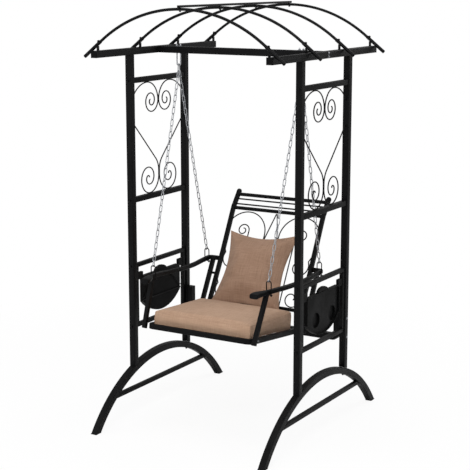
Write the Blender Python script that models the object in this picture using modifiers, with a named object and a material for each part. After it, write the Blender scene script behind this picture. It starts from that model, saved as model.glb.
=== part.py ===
"""Canopy swing chair: a tube frame with an arched roof, a hanging seat on four chains, and two folding side trays.

Units are metres and +Z is up. The sitter faces -Y. The origin is on the floor below the middle of the frame.
"""

import math

import bmesh
import bpy
from mathutils import Matrix, Vector

# Fits and allowances
GAP = 0.0003
RUN = 0.0006
OVERRUN = 0.004
WELD = 0.0008
CUT_DEPTH = 0.05

# Main tube and the places of the side frames
TUBE = 0.032
WALL = 0.0016
FRAME_X = 0.4524
POST_Y = 0.236
BEAM_BOTTOM = 1.764
BEAM_HALF_LENGTH = 0.514

# Foot arches
ARCH_RADIUS = 0.715
ARCH_APEX = 0.297
ARCH_STEPS = 18
FOOT_CAP = 0.003
FOOT_PLUG = 0.014
BRACE_SIDE = 0.020
BRACE_Z = 0.138

# Rails between the posts
RAIL_SIDE = 0.025
TOP_RAIL_TOP = 1.6551
MIDDLE_RAIL_TOP = 1.0848

# Tray frame: a welded rectangle of small tube between the posts
TRAY_TUBE = 0.020
ARM_RAIL_TOP = 0.7595
LOWER_RAIL_TOP = 0.4614

# Wire scrolls of the side frames, as shares of the half bay between the posts
SCROLL_WIRE = 0.003
SCROLL_STEP_ANGLE = math.radians(30)
UPPER_PEAK_SHARE = 0.428
UPPER_OUTER_SHARE = 0.677
UPPER_SPIRAL_SHARE = 0.273
UPPER_DECREMENT_SHARE = 0.0355
UPPER_QUARTERS = 5
LOWER_ELBOW_SHARE = 0.386
LOWER_SPIRAL_SHARE = 0.384
LOWER_DECREMENT_SHARE = 0.0486
LOWER_DROP_SHARE = 0.135
LOWER_QUARTERS = 6

# Rear stretcher
STRETCHER_BOTTOM = 0.391
STRETCHER_TOP = 0.5577
STRETCHER_OUTER_RADIUS = 0.040

# Roof
ROOF_RADIUS = 0.683
ROOF_ANGLE = math.radians(38)
ROOF_STEPS = 12
ROOF_WIRE = 0.0065
ROOF_END_INSET = 0.016
ROOF_INNER_SHARE = 0.3293
SLEEVE_RADIUS = 0.008
SLEEVE_SEAT = 0.001
SLEEVE_LENGTH = 0.114
SLEEVE_PLUG = 0.025
SLEEVE_INSET = 0.027
STUB_THICKNESS = 0.008
STUB_WIDTH = 0.012
STUB_INSET = 0.001
RIDGE_SIDE = 0.010
RIDGE_OVERHANG = 0.016

# Hanger bolts, which carry the seat
HANGER_X = 0.3312
HANGER_ROD = 0.003
HANGER_SPREAD = 0.020
HANGER_DROP = 0.057
HANGER_BEND = 0.006
NUT_HEIGHT = 0.005
NUT_RADIUS = 0.0062
NUT_SIDES = 6
ROD_TIP = 0.006

# Hanger links and chains
LINK_WIRE = 0.0025
LINK_HEIGHT = 0.025
CHAIN_WIRE = 0.002
CHAIN_PITCH = 0.0306
CHAIN_INNER_WIDTH = 0.0085
CHAIN_SIDES = 3
CHAIN_STATIONS = 6
CHAIN_SINK = 0.0008
DELTA_BASE = 0.021
DELTA_HEIGHT = 0.031
DELTA_POINT_SHARE = 0.35
DELTA_BASE_SHARE = 0.8

# Arm bolts, which hold the chains to the arms
ARM_ROD = 0.0025
ARM_BOLT_HEIGHT = 0.043
FRONT_BOLT_Y = -0.2635
REAR_BOLT_INSET = 0.029
SADDLE_LENGTH = 0.034
SADDLE_WIDTH = 0.010
SADDLE_THICKNESS = 0.003
ARM_NUT_HEIGHT = 0.004
ARM_NUT_RADIUS = 0.0046

# Arms
ARM_WIDTH = 0.018
ARM_HEIGHT = 0.022
ARM_CORNER = 0.005
ARM_X = 0.320
ARM_FRONT_Y = -0.370
ARM_REACH = 0.100
ARM_TOP_Z = 0.7345
ARM_DIP = 0.0165
ARM_FRONT_INSET = 0.0284
ARM_BEND = 0.016
ARM_PATH_SHARES = (
    (0.04, 0.88, 0.0),
    (0.115, 0.40, 0.0),
    (0.195, 0.10, 0.08),
    (0.28, 0.0, 0.25),
    (0.42, 0.0, 0.65),
    (0.60, 0.0, 0.95),
    (0.77, 0.0, 1.0),
    (0.90, 0.0, 0.6),
    (1.0, 0.0, 0.35),
)
PAD_LENGTH = 0.088
PAD_WIDTH = 0.043
PAD_THICKNESS = 0.019
PAD_CURL = 0.007
PAD_EDGE = 0.003

# Seat legs, rails and stiles
LEG = 0.020
SEAT_TILT = math.radians(6.5)
SEAT_FRONT_Y = -0.370
SEAT_FRONT_TOP = 0.5190
SEAT_RAIL_WIDTH = 0.020
SEAT_RAIL_HEIGHT = 0.025
SEAT_RAIL_X = 0.2773
SEAT_LENGTH = 0.510
SEAT_CORNER = 0.040
SLAT_WIDTH = 0.025
SLAT_THICKNESS = 0.006
SLAT_DROP = 0.008
SLAT_COUNT = 5
SLAT_END = 0.060
FRONT_LEG_LEAN = 0.094
REAR_LEG_LEAN = 0.147
SPACER_DROP = 0.080
SPACER_RADIUS = 0.006

# Back rest
STILE = 0.020
STILE_SETBACK = 0.018
STILE_FOOT_Z = 0.450
STILE_FOOT_LEAN = 0.037
STILE_FOOT_RISE = 0.080
BACK_TILT = math.radians(28.22)
BACK_LENGTH = 0.472
BACK_HEAD = 0.112
BACK_HEAD_TILT = math.radians(38)
BACK_BOW = 0.004
BALL_RADIUS = 0.0135
THICK_BAR = 0.008
THIN_BAR = 0.0035
HEAD_BAR_SHARES = (0.13, 0.36, 0.62, 0.82)
BACK_WIRE = 0.003
HEART_RADIUS = 0.1145
HEART_PLACE_SHARE = 0.8
CURL_RADIUS = 0.034
CURL_QUARTERS = 5
CURL_DECREMENT_SHARE = 0.143
SIDE_CURL_RADIUS = 0.055
SIDE_CURL_EIGHTHS = 6
SIDE_CURL_DECREMENT_SHARE = 0.167
MIDDLE_CURL_SHARE = 0.46
LOW_CURL_SHARE = 0.115

# Cushions
CUSHION_SIDE_ROOM = 0.0028
CUSHION_DEPTH = 0.405
CUSHION_THICKNESS = 0.072
CUSHION_WEDGE = 0.022
CUSHION_CROWN = 0.014
CUSHION_DRAW = 0.010
CUSHION_FRONT_INSET = 0.024
CUSHION_FULLNESS = 6
CUSHION_CELLS = 14
PILLOW_SIDE = 0.385
PILLOW_HEIGHT = 0.370
PILLOW_THICKNESS = 0.130
PILLOW_DRAW = 0.024
PILLOW_FULLNESS = 2
PILLOW_CELLS = 11
PILLOW_RECLINE = math.radians(9)
PILLOW_OFFSET = 0.1002
PILLOW_LIFT = -0.0366

# Side trays and their stays
TRAY_AXIS_Z = 0.7056
TRAY_TOP = 0.688
TRAY_BOTTOM = 0.4876
TRAY_SHOULDER = 0.558
TRAY_HALF_WIDTH = 0.1645
TRAY_THICKNESS = 0.020
TRAY_RIM = 0.003
TRAY_RECESS = 0.008
TRAY_CORNER = 0.012
CUP_RADIUS = 0.0365
CUP_Z = 0.562
CUP_FRONT_Y = -0.063
CUP_REAR_Y = 0.100
CUP_FLOOR = 0.0025
BUMP_HALF_WIDTH = 0.050
BUMP_HEIGHT = 0.0243
KNUCKLE_LENGTH = 0.040
KNUCKLE_HALF = 0.005
KNUCKLE_THICKNESS = 0.014
PIN_RADIUS = 0.003
PIN_LENGTH = 0.012
STAY_WIRE = 0.00225
LUG_Z = 0.650
LUG_Y = 0.080
LUG_SIDE = 0.012
LUG_REACH = 0.009
STAY_BAR_Z = 0.568
STAY_BAR_HALF = 0.185
STAY_BEND = 0.004
STAY_BEND_END = math.radians(63)
STAY_SHOULDER_SHARES = (0.55, 0.26)

# Values worked out from the sizes above
ARCH_CENTRE_Z = ARCH_APEX - ARCH_RADIUS
BEAM_TOP = BEAM_BOTTOM + TUBE
BAY = POST_Y - TUBE / 2
BEAM_INNER_X = FRAME_X - TUBE / 2
BEAM_OUTER_X = FRAME_X + TUBE / 2
HINGE_Z = BEAM_BOTTOM - HANGER_DROP
STILE_X = SEAT_RAIL_X - SEAT_RAIL_WIDTH / 2 - GAP - STILE / 2
LEG_X = SEAT_RAIL_X + SEAT_RAIL_WIDTH / 2 + GAP + LEG / 2
STILE_FOOT = (SEAT_FRONT_Y + SEAT_LENGTH - STILE_SETBACK, STILE_FOOT_Z)
STILE_TURN = (STILE_FOOT[0] + STILE_FOOT_LEAN, STILE_FOOT[1] + STILE_FOOT_RISE)
ARM_REAR_Y = STILE_TURN[0] + ARM_REACH
REAR_BOLT_Y = ARM_REAR_Y - REAR_BOLT_INSET
CUSHION_WIDTH = 2 * (SEAT_RAIL_X - SEAT_RAIL_WIDTH / 2 - CUSHION_SIDE_ROOM)
ROOF_OUTER_Y = BEAM_HALF_LENGTH - ROOF_END_INSET
ROOF_INNER_Y = ROOF_OUTER_Y * ROOF_INNER_SHARE
ROOF_CENTRE_Z = BEAM_TOP - (
    (ROOF_RADIUS - SLEEVE_RADIUS + SLEEVE_SEAT) - BEAM_OUTER_X * math.sin(ROOF_ANGLE)
) / math.cos(ROOF_ANGLE)

# Which plane an outline lies in: columns are the outline's first axis, its second axis and its depth
IN_XY = Matrix(((1, 0, 0), (0, 1, 0), (0, 0, 1)))
IN_YZ = Matrix(((0, 0, 1), (1, 0, 0), (0, 1, 0)))
IN_XZ = Matrix(((1, 0, 0), (0, 0, -1), (0, 1, 0)))

# Finishes: colour, roughness and metallic value
BLACK_STEEL = ((0.018, 0.018, 0.020), 0.45, 0.3)
BLACK_PLASTIC = ((0.012, 0.012, 0.013), 0.55, 0.0)
ZINC = ((0.62, 0.63, 0.65), 0.35, 1.0)
TAN_CLOTH = ((0.40, 0.26, 0.19), 0.9, 0.0)


def clear_scene():
    for obj in list(bpy.data.objects):
        bpy.data.objects.remove(obj, do_unlink=True)


def make_collection(name, hidden=False):
    collection = bpy.data.collections.new(name)
    bpy.context.scene.collection.children.link(collection)
    collection.hide_render = hidden
    return collection


clear_scene()
PARTS = make_collection("canopy_swing_chair")
CUTTERS = make_collection("cutters", hidden=True)


def finish(obj, look):
    """Gives the object its own material."""
    colour, roughness, metallic = look
    material = bpy.data.materials.new(obj.name)
    material.use_nodes = True
    shader = material.node_tree.nodes["Principled BSDF"]
    shader.inputs["Base Color"].default_value = (*colour, 1)
    shader.inputs["Roughness"].default_value = roughness
    shader.inputs["Metallic"].default_value = metallic
    obj.data.materials.clear()
    obj.data.materials.append(material)
    return obj


def place(name, data, matrix=None):
    obj = bpy.data.objects.new(name, data)
    PARTS.objects.link(obj)
    if matrix is not None:
        obj.matrix_world = matrix
    return obj


def hide(obj):
    """Keeps a cutter, or a shape that a union takes up, out of the parts."""
    PARTS.objects.unlink(obj)
    CUTTERS.objects.link(obj)
    obj.hide_render = True
    obj.display_type = "WIRE"
    return obj


def combine(obj, other, operation):
    modifier = obj.modifiers.new(other.name, "BOOLEAN")
    modifier.operation = operation
    modifier.solver = "EXACT"
    modifier.object = other
    if other.name in PARTS.objects:
        hide(other)
    return obj


def cut(obj, *cutters):
    for cutter in cutters:
        combine(obj, cutter, "DIFFERENCE")
    return obj


def weld(obj, *others):
    for other in others:
        combine(obj, other, "UNION")
    return obj


def as_mesh(obj):
    """Turns a curve into a mesh of the same name and place, with its caps welded on."""
    graph = bpy.context.evaluated_depsgraph_get()
    mesh = bpy.data.meshes.new_from_object(obj.evaluated_get(graph))
    shell = bmesh.new()
    shell.from_mesh(mesh)
    bmesh.ops.remove_doubles(shell, verts=shell.verts, dist=GAP / 100)
    bmesh.ops.recalc_face_normals(shell, faces=shell.faces)
    shell.to_mesh(mesh)
    shell.free()
    name = obj.name
    matrix = obj.matrix_world.copy()
    bpy.data.objects.remove(obj, do_unlink=True)
    return place(name, mesh, matrix)


def spline(curve, points, cyclic):
    line = curve.splines.new("POLY")
    line.points.add(len(points) - 1)
    for node, point in zip(line.points, points):
        node.co = (*point, 1)
    line.use_cyclic_u = cyclic


def wire(name, points, radius, resolution=1, cyclic=False):
    """A round wire along the points, with filled ends."""
    curve = bpy.data.curves.new(name, "CURVE")
    curve.dimensions = "3D"
    curve.twist_mode = "Z_UP"
    spline(curve, points, cyclic)
    curve.bevel_depth = radius
    curve.bevel_resolution = resolution
    curve.use_fill_caps = not cyclic
    obj = place(name, curve)
    obj = as_mesh(obj)
    obj.data.shade_smooth()
    return obj


def plate(name, outlines, thickness, plane=IN_XY, centre=(0, 0, 0)):
    """A flat outline, with any holes after it, of this thickness about its centre."""
    curve = bpy.data.curves.new(name, "CURVE")
    curve.dimensions = "2D"
    curve.fill_mode = "BOTH"
    curve.extrude = thickness / 2
    for outline in outlines:
        spline(curve, [(u, v, 0) for u, v in outline], cyclic=True)
    return as_mesh(place(name, curve, Matrix.Translation(centre) @ plane.to_4x4()))


def rectangle(width, height, centre=(0, 0)):
    u, v = centre
    half_u = width / 2
    half_v = height / 2
    return [
        (u - half_u, v - half_v),
        (u + half_u, v - half_v),
        (u + half_u, v + half_v),
        (u - half_u, v + half_v),
    ]


def chamfered(width, height, corner):
    half_u = width / 2
    half_v = height / 2
    corners = ((-1, -1, 0), (1, -1, 1), (1, 1, 0), (-1, 1, 1))
    points = []
    for side_u, side_v, first in corners:
        along_u = (side_u * (half_u - corner), side_v * half_v)
        along_v = (side_u * half_u, side_v * (half_v - corner))
        points += [along_u, along_v] if first else [along_v, along_u]
    return points


def arc(centre, radius, start, end, steps):
    """Points on an arc, both ends included, with angles in radians from the first axis."""
    return [
        (
            centre[0] + radius * math.cos(start + (end - start) * i / steps),
            centre[1] + radius * math.sin(start + (end - start) * i / steps),
        )
        for i in range(steps + 1)
    ]


def spiral(centre, radius, start, turn, decrement, step=SCROLL_STEP_ANGLE):
    """Points on a spiral that loses the decrement in each quarter turn, after its first point."""
    steps = round(abs(turn) / step)
    points = []
    for i in range(1, steps + 1):
        angle = start + turn * i / steps
        here = radius - decrement * abs(turn) * i / steps / (math.pi / 2)
        points.append((centre[0] + here * math.cos(angle), centre[1] + here * math.sin(angle)))
    return points


def band(points, width):
    """The outline of a strip of this width along a line of points."""
    left = []
    right = []
    for i, point in enumerate(points):
        before = Vector(points[max(i - 1, 0)])
        after = Vector(points[min(i + 1, len(points) - 1)])
        along = (after - before).normalized()
        across = Vector((-along.y, along.x)) * width / 2
        left.append(tuple(Vector(point) + across))
        right.append(tuple(Vector(point) - across))
    return left + right[::-1]


def axis_matrix(start, end, side):
    """A frame at the middle of the line from start to end, with its depth along the line and across it a side."""
    start = Vector(start)
    end = Vector(end)
    along = (end - start).normalized()
    across = (Vector(side) - along * along.dot(Vector(side))).normalized()
    up = along.cross(across)
    turn = Matrix((across, up, along)).transposed()
    return Matrix.Translation((start + end) / 2) @ turn.to_4x4()


def bar(name, start, end, outlines, side=(1, 0, 0)):
    """A straight bar or tube with these section outlines."""
    length = (Vector(end) - Vector(start)).length
    obj = plate(name, outlines, length)
    obj.matrix_world = axis_matrix(start, end, side)
    return obj


def square_tube(name, start, end, side, wall):
    sections = [rectangle(side, side), rectangle(side - 2 * wall, side - 2 * wall)]
    return bar(name, start, end, sections)


def block(name, size, centre):
    return plate(name, [rectangle(size[0], size[1])], size[2], IN_XY, centre)


def prism(name, radius, sides, start, end, side=(1, 0, 0)):
    outline = arc((0, 0), radius, 0, 2 * math.pi * (sides - 1) / sides, sides - 1)
    return bar(name, start, end, [outline], side)


def trim(obj, point, outward):
    """Cuts the mesh at a plane and closes it, keeping the side that the outward direction leaves."""
    shell = bmesh.new()
    shell.from_mesh(obj.data)
    inverse = obj.matrix_world.inverted()
    geometry = shell.verts[:] + shell.edges[:] + shell.faces[:]
    bmesh.ops.bisect_plane(
        shell,
        geom=geometry,
        plane_co=inverse @ Vector(point),
        plane_no=inverse.to_3x3() @ Vector(outward),
        clear_outer=True,
    )
    rims = [edge for edge in shell.edges if edge.is_boundary]
    bmesh.ops.holes_fill(shell, edges=rims)
    bmesh.ops.recalc_face_normals(shell, faces=shell.faces)
    shell.to_mesh(obj.data)
    shell.free()
    return obj


def side_name(side):
    return "right" if side > 0 else "left"


def end_name(end):
    return "rear" if end > 0 else "front"


# Foot arches, braces and posts


def arch_line(radius, offset=0.0, overrun=0.0):
    """One line of the arch, or one beside it, with the same stations; an overrun lengthens both ends."""
    low = math.asin((FOOT_CAP + GAP - ARCH_CENTRE_Z) / radius)
    points = arc((0, ARCH_CENTRE_Z), radius + offset, low, math.pi - low, ARCH_STEPS)
    if overrun:
        ends = []
        for last, before in ((points[0], points[1]), (points[-1], points[-2])):
            along = (Vector(last) - Vector(before)).normalized()
            ends.append(tuple(Vector(last) + along * overrun))
        points = [ends[0], *points, ends[1]]
    return points


def arch_band(name, side, shrink, width, overrun=0.0):
    """The solid between the arch's two lines, drawn in by an amount or grown by a negative one."""
    outer = arch_line(ARCH_RADIUS, -shrink, overrun)
    inner = arch_line(ARCH_RADIUS - TUBE, shrink, overrun)
    return plate(name, [outer + inner[::-1]], width, IN_YZ, (side * FRAME_X, 0, 0))


def foot_arch(side):
    name = f"{side_name(side)}_foot_arch"
    bore = arch_band(f"{name}_bore", side, WALL, TUBE - 2 * WALL, 2 * OVERRUN)
    return cut(arch_band(name, side, 0, TUBE), bore)


def arch_saddle(side, name):
    """The arch grown by the gap, to cut what stands on it or fits inside it."""
    return arch_band(name, side, -GAP, CUT_DEPTH)


def foot_cap(side, end):
    """A floor pad with a plug that reaches up into the open end of the arch."""
    name = f"{side_name(side)}_{end_name(end)}_foot_cap"
    x = side * FRAME_X
    inner = ARCH_RADIUS - TUBE
    outer_y = math.sqrt(ARCH_RADIUS**2 - ARCH_CENTRE_Z**2)
    inner_y = math.sqrt(inner**2 - ARCH_CENTRE_Z**2)
    middle = end * (outer_y + inner_y) / 2
    obj = block(name, (TUBE, outer_y - inner_y, FOOT_CAP), (x, middle, FOOT_CAP / 2))
    room = WALL + GAP
    plug = arch_band(f"{name}_plug", side, room, TUBE - 2 * room, OVERRUN)
    low = FOOT_CAP - WELD
    reach = (TUBE, 2 * TUBE, FOOT_PLUG - low)
    limit = block(f"{name}_plug_limit", reach, (x, middle, (FOOT_PLUG + low) / 2))
    return weld(obj, combine(plug, limit, "INTERSECT"))


def foot_brace(side, saddle):
    name = f"{side_name(side)}_foot_brace"
    x = side * FRAME_X
    rise = BRACE_Z - BRACE_SIDE / 2 - ARCH_CENTRE_Z
    reach = math.sqrt((ARCH_RADIUS - TUBE) ** 2 - rise**2)
    obj = square_tube(name, (x, -reach, BRACE_Z), (x, reach, BRACE_Z), BRACE_SIDE, WALL)
    return cut(obj, saddle)


def post(side, end, saddle):
    name = f"{side_name(side)}_{end_name(end)}_post"
    x = side * FRAME_X
    y = end * POST_Y
    rise = ARCH_CENTRE_Z + math.sqrt((ARCH_RADIUS - TUBE / 2) ** 2 - POST_Y**2)
    top = BEAM_BOTTOM - GAP
    obj = square_tube(name, (x, y, rise), (x, y, top), TUBE, WALL)
    return cut(obj, saddle)


def rail(side, place_name, top):
    """A square tube between the posts of one side."""
    reach = BAY - GAP
    x = side * FRAME_X
    z = top - RAIL_SIDE / 2
    name = f"{side_name(side)}_{place_name}_rail"
    return square_tube(name, (x, -reach, z), (x, reach, z), RAIL_SIDE, WALL)


# Tray frames, scrolls and the rear stretcher


def tray_frame(side):
    """The welded rectangle that stands between the posts, with a hole in each upright for a tray pin."""
    name = f"{side_name(side)}_tray_frame"
    width = 2 * (BAY - GAP)
    height = ARM_RAIL_TOP - (LOWER_RAIL_TOP - TRAY_TUBE)
    middle = (0, ARM_RAIL_TOP - height / 2)
    outlines = [
        rectangle(width, height, middle),
        rectangle(width - 2 * TRAY_TUBE, height - 2 * TRAY_TUBE, middle),
    ]
    centre = (side * FRAME_X, 0, 0)
    obj = plate(name, outlines, TRAY_TUBE, IN_YZ, centre)
    reach = BAY - TRAY_TUBE - GAP
    for end in (-1, 1):
        inner = (side * FRAME_X, end * (reach - OVERRUN), TRAY_AXIS_Z)
        outer = (side * FRAME_X, end * (reach + PIN_LENGTH + GAP), TRAY_AXIS_Z)
        hole = prism(f"{name}_{end_name(end)}_hole", PIN_RADIUS + GAP, 8, inner, outer)
        cut(obj, hole)
    return obj


def scroll_pair(name, half, side):
    """A wire half, cut flush at the post and mirrored where it touches the middle plane."""
    points = [(side * FRAME_X, y, z) for y, z in half]
    obj = wire(name, points, SCROLL_WIRE)
    trim(obj, (0, GAP - BAY, 0), (0, -1, 0))
    mirror = obj.modifiers.new("mirror", "MIRROR")
    mirror.use_axis = (False, True, False)
    mirror.use_bisect_axis = (False, True, False)
    mirror.use_bisect_flip_axis = (False, True, False)
    mirror.merge_threshold = GAP / 10
    mirror.bisect_threshold = GAP / 10
    return obj


def upper_scroll_half():
    """The front half, from the post over the peak and down into the spiral."""
    reach = BAY + OVERRUN
    peak_y = -UPPER_PEAK_SHARE * BAY
    peak_z = TOP_RAIL_TOP - RAIL_SIDE - GAP - SCROLL_WIRE
    outer = UPPER_OUTER_SHARE * BAY
    start = math.acos((-reach - peak_y) / outer)
    touch = -(SCROLL_WIRE - WELD)
    inner = touch - peak_y
    size = UPPER_SPIRAL_SHARE * BAY
    points = arc((peak_y, peak_z - outer), outer, start, math.pi / 2, 3)
    points += arc((peak_y, peak_z - inner), inner, math.pi / 2, 0, 4)[1:]
    centre = (touch - size, peak_z - inner)
    turn = -UPPER_QUARTERS * math.pi / 2
    return points + spiral(centre, size, 0, turn, UPPER_DECREMENT_SHARE * BAY)


def lower_scroll_half():
    """The front half, slanting down from the post into the spiral that stands on the middle rail."""
    elbow = LOWER_ELBOW_SHARE * BAY
    size = LOWER_SPIRAL_SHARE * BAY
    decrement = LOWER_DECREMENT_SHARE * BAY
    touch = -(SCROLL_WIRE - WELD)
    centre_z = MIDDLE_RAIL_TOP + GAP + SCROLL_WIRE + size - decrement
    elbow_z = centre_z + LOWER_DROP_SHARE * BAY
    slant = arc((touch - elbow, elbow_z), elbow, math.pi / 4, 0, 3)
    first_y, first_z = slant[0]
    rise = BAY + OVERRUN + first_y
    points = [(-(BAY + OVERRUN), first_z + rise)] + slant
    turn = -LOWER_QUARTERS * math.pi / 2
    points.append((touch, centre_z))
    return points + spiral((touch - size, centre_z), size, 0, turn, decrement)


def rear_stretcher():
    """A bent square tube between the rear posts, with both ends turned up."""
    reach = BEAM_INNER_X - GAP
    outline = u_outline(reach, STRETCHER_BOTTOM, STRETCHER_TOP, TUBE)
    obj = plate("rear_stretcher", [outline], TUBE, IN_XZ, (0, POST_Y, 0))
    bottom = STRETCHER_BOTTOM + WALL
    bore = u_outline(reach - WALL, bottom, STRETCHER_TOP + OVERRUN, TUBE - 2 * WALL)
    cutter = plate("rear_stretcher_bore", [bore], TUBE - 2 * WALL, IN_XZ, (0, POST_Y, 0))
    return cut(obj, cutter)


def u_outline(reach, bottom, top, thickness):
    """The outline of a U of this thickness; its bends share their centres whatever the thickness."""
    bend = STRETCHER_OUTER_RADIUS - (BEAM_INNER_X - GAP - reach)
    centre_x = reach - bend
    centre_z = bottom + bend
    quarter = math.pi / 2
    outer = arc((centre_x, centre_z), bend, -quarter, 0, 4)
    inner = arc((centre_x, centre_z), bend - thickness, -quarter, 0, 4)
    outer = [(-u, v) for u, v in outer[::-1]] + outer
    inner = [(-u, v) for u, v in inner[::-1]] + inner
    left = (-reach, top)
    right = (reach, top)
    inner_right = (reach - thickness, top)
    inner_left = (thickness - reach, top)
    return [left, *outer, right, inner_right, *inner[::-1], inner_left]


# Roof


def roof_line(x):
    """Height of the straight tangent end of a roof arch at a distance from the middle."""
    return ROOF_CENTRE_Z + (ROOF_RADIUS - x * math.sin(ROOF_ANGLE)) / math.cos(ROOF_ANGLE)


def sleeve_points(side, y, start, length):
    """Two points on a sleeve's axis, counted along it from its upper end."""
    upper_x = BEAM_INNER_X - SLEEVE_INSET + TUBE / 2
    points = []
    for distance in (start, start + length):
        x = upper_x + distance * math.cos(ROOF_ANGLE)
        points.append((side * x, y, roof_line(x)))
    return points


def roof_beam(side):
    """A side beam with the sleeves that take the ends of the roof arches welded over its outer edge."""
    name = f"{side_name(side)}_roof_beam"
    x = side * FRAME_X
    z = BEAM_BOTTOM + TUBE / 2
    reach = BEAM_HALF_LENGTH - GAP
    obj = square_tube(name, (x, -reach, z), (x, reach, z), TUBE, WALL)
    stub_x = BEAM_INNER_X + STUB_INSET + STUB_THICKNESS
    stub_top = roof_line(stub_x) - SLEEVE_RADIUS
    stub_bottom = BEAM_TOP - WELD
    bores = []
    for number, y in enumerate(roof_places(), 1):
        sleeve_name = f"{name}_sleeve_{number}"
        ends = sleeve_points(side, y, 0, SLEEVE_LENGTH)
        bore_ends = sleeve_points(side, y, -OVERRUN, SLEEVE_LENGTH + 2 * OVERRUN)
        bores.append(wire(f"{sleeve_name}_bore", bore_ends, ROOF_WIRE + GAP, 2))
        size = (STUB_THICKNESS, STUB_WIDTH, stub_top - stub_bottom)
        centre = (side * (stub_x - STUB_THICKNESS / 2), y, (stub_top + stub_bottom) / 2)
        stub = block(f"{name}_stub_{number}", size, centre)
        weld(obj, wire(sleeve_name, ends, SLEEVE_RADIUS, 2), stub)
    return cut(obj, *bores)


def roof_places():
    return (-ROOF_OUTER_Y, -ROOF_INNER_Y, ROOF_INNER_Y, ROOF_OUTER_Y)


def roof_arch(number, y):
    """A bent tube whose straight ends plug into the sleeves of both side beams."""
    left = sleeve_points(-1, y, 0, SLEEVE_PLUG)[1]
    right = sleeve_points(1, y, 0, SLEEVE_PLUG)[1]
    start = math.pi / 2 + ROOF_ANGLE
    end = math.pi / 2 - ROOF_ANGLE
    crown = arc((0, ROOF_CENTRE_Z), ROOF_RADIUS, start, end, ROOF_STEPS)
    points = [left] + [(x, y, z) for x, z in crown] + [right]
    return wire(f"roof_arch_{number}", points, ROOF_WIRE, 2)


def ridge_bar():
    z = ROOF_CENTRE_Z + ROOF_RADIUS + ROOF_WIRE + GAP + RIDGE_SIDE / 2
    reach = ROOF_OUTER_Y + RIDGE_OVERHANG
    section = [rectangle(RIDGE_SIDE, RIDGE_SIDE)]
    return bar("ridge_bar", (0, -reach, z), (0, reach, z), section)


def beam_cap(side, end):
    """A plate that closes the end of a side beam, with a plug inside the tube."""
    name = f"{side_name(side)}_{end_name(end)}_beam_cap"
    x = side * FRAME_X
    z = BEAM_BOTTOM + TUBE / 2
    face = BEAM_HALF_LENGTH
    obj = block(name, (TUBE, FOOT_CAP, TUBE), (x, end * (face + FOOT_CAP / 2), z))
    room = TUBE - 2 * (WALL + GAP)
    length = FOOT_PLUG + WELD
    centre = (x, end * (face + WELD - length / 2), z)
    plug = block(f"{name}_plug", (room, length, room), centre)
    return weld(obj, plug)


def cross_beam():
    """The beam that carries the seat, drilled for the two legs of each hanger bolt."""
    reach = BEAM_INNER_X - GAP
    z = BEAM_BOTTOM + TUBE / 2
    sections = [rectangle(TUBE, TUBE), rectangle(TUBE - 2 * WALL, TUBE - 2 * WALL)]
    obj = bar("cross_beam", (-reach, 0, z), (reach, 0, z), sections, (0, 1, 0))
    for side in (-1, 1):
        for leg in (-1, 1):
            x = side * HANGER_X + leg * HANGER_SPREAD / 2
            name = f"cross_beam_hole_{side_name(side)}_{leg}"
            low = (x, 0, BEAM_BOTTOM - OVERRUN)
            high = (x, 0, BEAM_TOP + OVERRUN)
            cut(obj, prism(name, HANGER_ROD + GAP, 8, low, high))
    return obj


def hanger_bolt(side):
    """A U-bolt through the cross beam, with a nut on top of each leg."""
    name = f"{side_name(side)}_hanger_bolt"
    x = side * HANGER_X
    half = HANGER_SPREAD / 2
    top = BEAM_TOP + GAP + NUT_HEIGHT + ROD_TIP
    bend = HANGER_BEND
    path = [(x - half, top)]
    path += arc((x - half + bend, HINGE_Z + bend), bend, math.pi, 1.5 * math.pi, 3)
    path += arc((x + half - bend, HINGE_Z + bend), bend, 1.5 * math.pi, 2 * math.pi, 3)
    path.append((x + half, top))
    obj = wire(name, [(u, 0, v) for u, v in path], HANGER_ROD, 2)
    for leg in (-1, 1):
        low = (x + leg * half, 0, BEAM_TOP + GAP)
        high = (x + leg * half, 0, BEAM_TOP + GAP + NUT_HEIGHT)
        weld(obj, prism(f"{name}_nut_{leg}", NUT_RADIUS, NUT_SIDES, low, high))
    return obj


# Hanger links, chains and arm bolts


def hanger_link(side):
    """An upright ring in the swing's plane, round the hanger bolt above and through the chains below."""
    upper = HANGER_ROD + RUN + LINK_WIRE
    lower = 2 * CHAIN_WIRE + GAP + RUN + LINK_WIRE
    low_z = HINGE_Z - LINK_HEIGHT
    points = arc((0, HINGE_Z), upper, 0, math.pi, 4)
    points += arc((0, low_z), lower, math.pi, 2 * math.pi, 6)
    path = [(side * HANGER_X, y, z) for y, z in points]
    return wire(f"{side_name(side)}_hanger_link", path, LINK_WIRE, 1, cyclic=True)


def chain_top(side, end):
    """Centre of the wire of a chain's first link where it lies in the hanger link."""
    rest = CHAIN_WIRE + GAP / 2
    drop = math.sqrt((2 * CHAIN_WIRE + GAP + RUN - CHAIN_WIRE) ** 2 - rest**2) - GAP
    return Vector((side * HANGER_X, end * rest, HINGE_Z - LINK_HEIGHT - drop))


def arm_point(side, y):
    """Middle of the arm's section at a distance along Y, with straight runs between its stations."""
    stations = arm_stations(side)
    for near, far in zip(stations, stations[1:]):
        if near.y <= y <= far.y:
            return near.lerp(far, (y - near.y) / (far.y - near.y))
    return stations[0] if y < stations[0].y else stations[-1]


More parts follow.
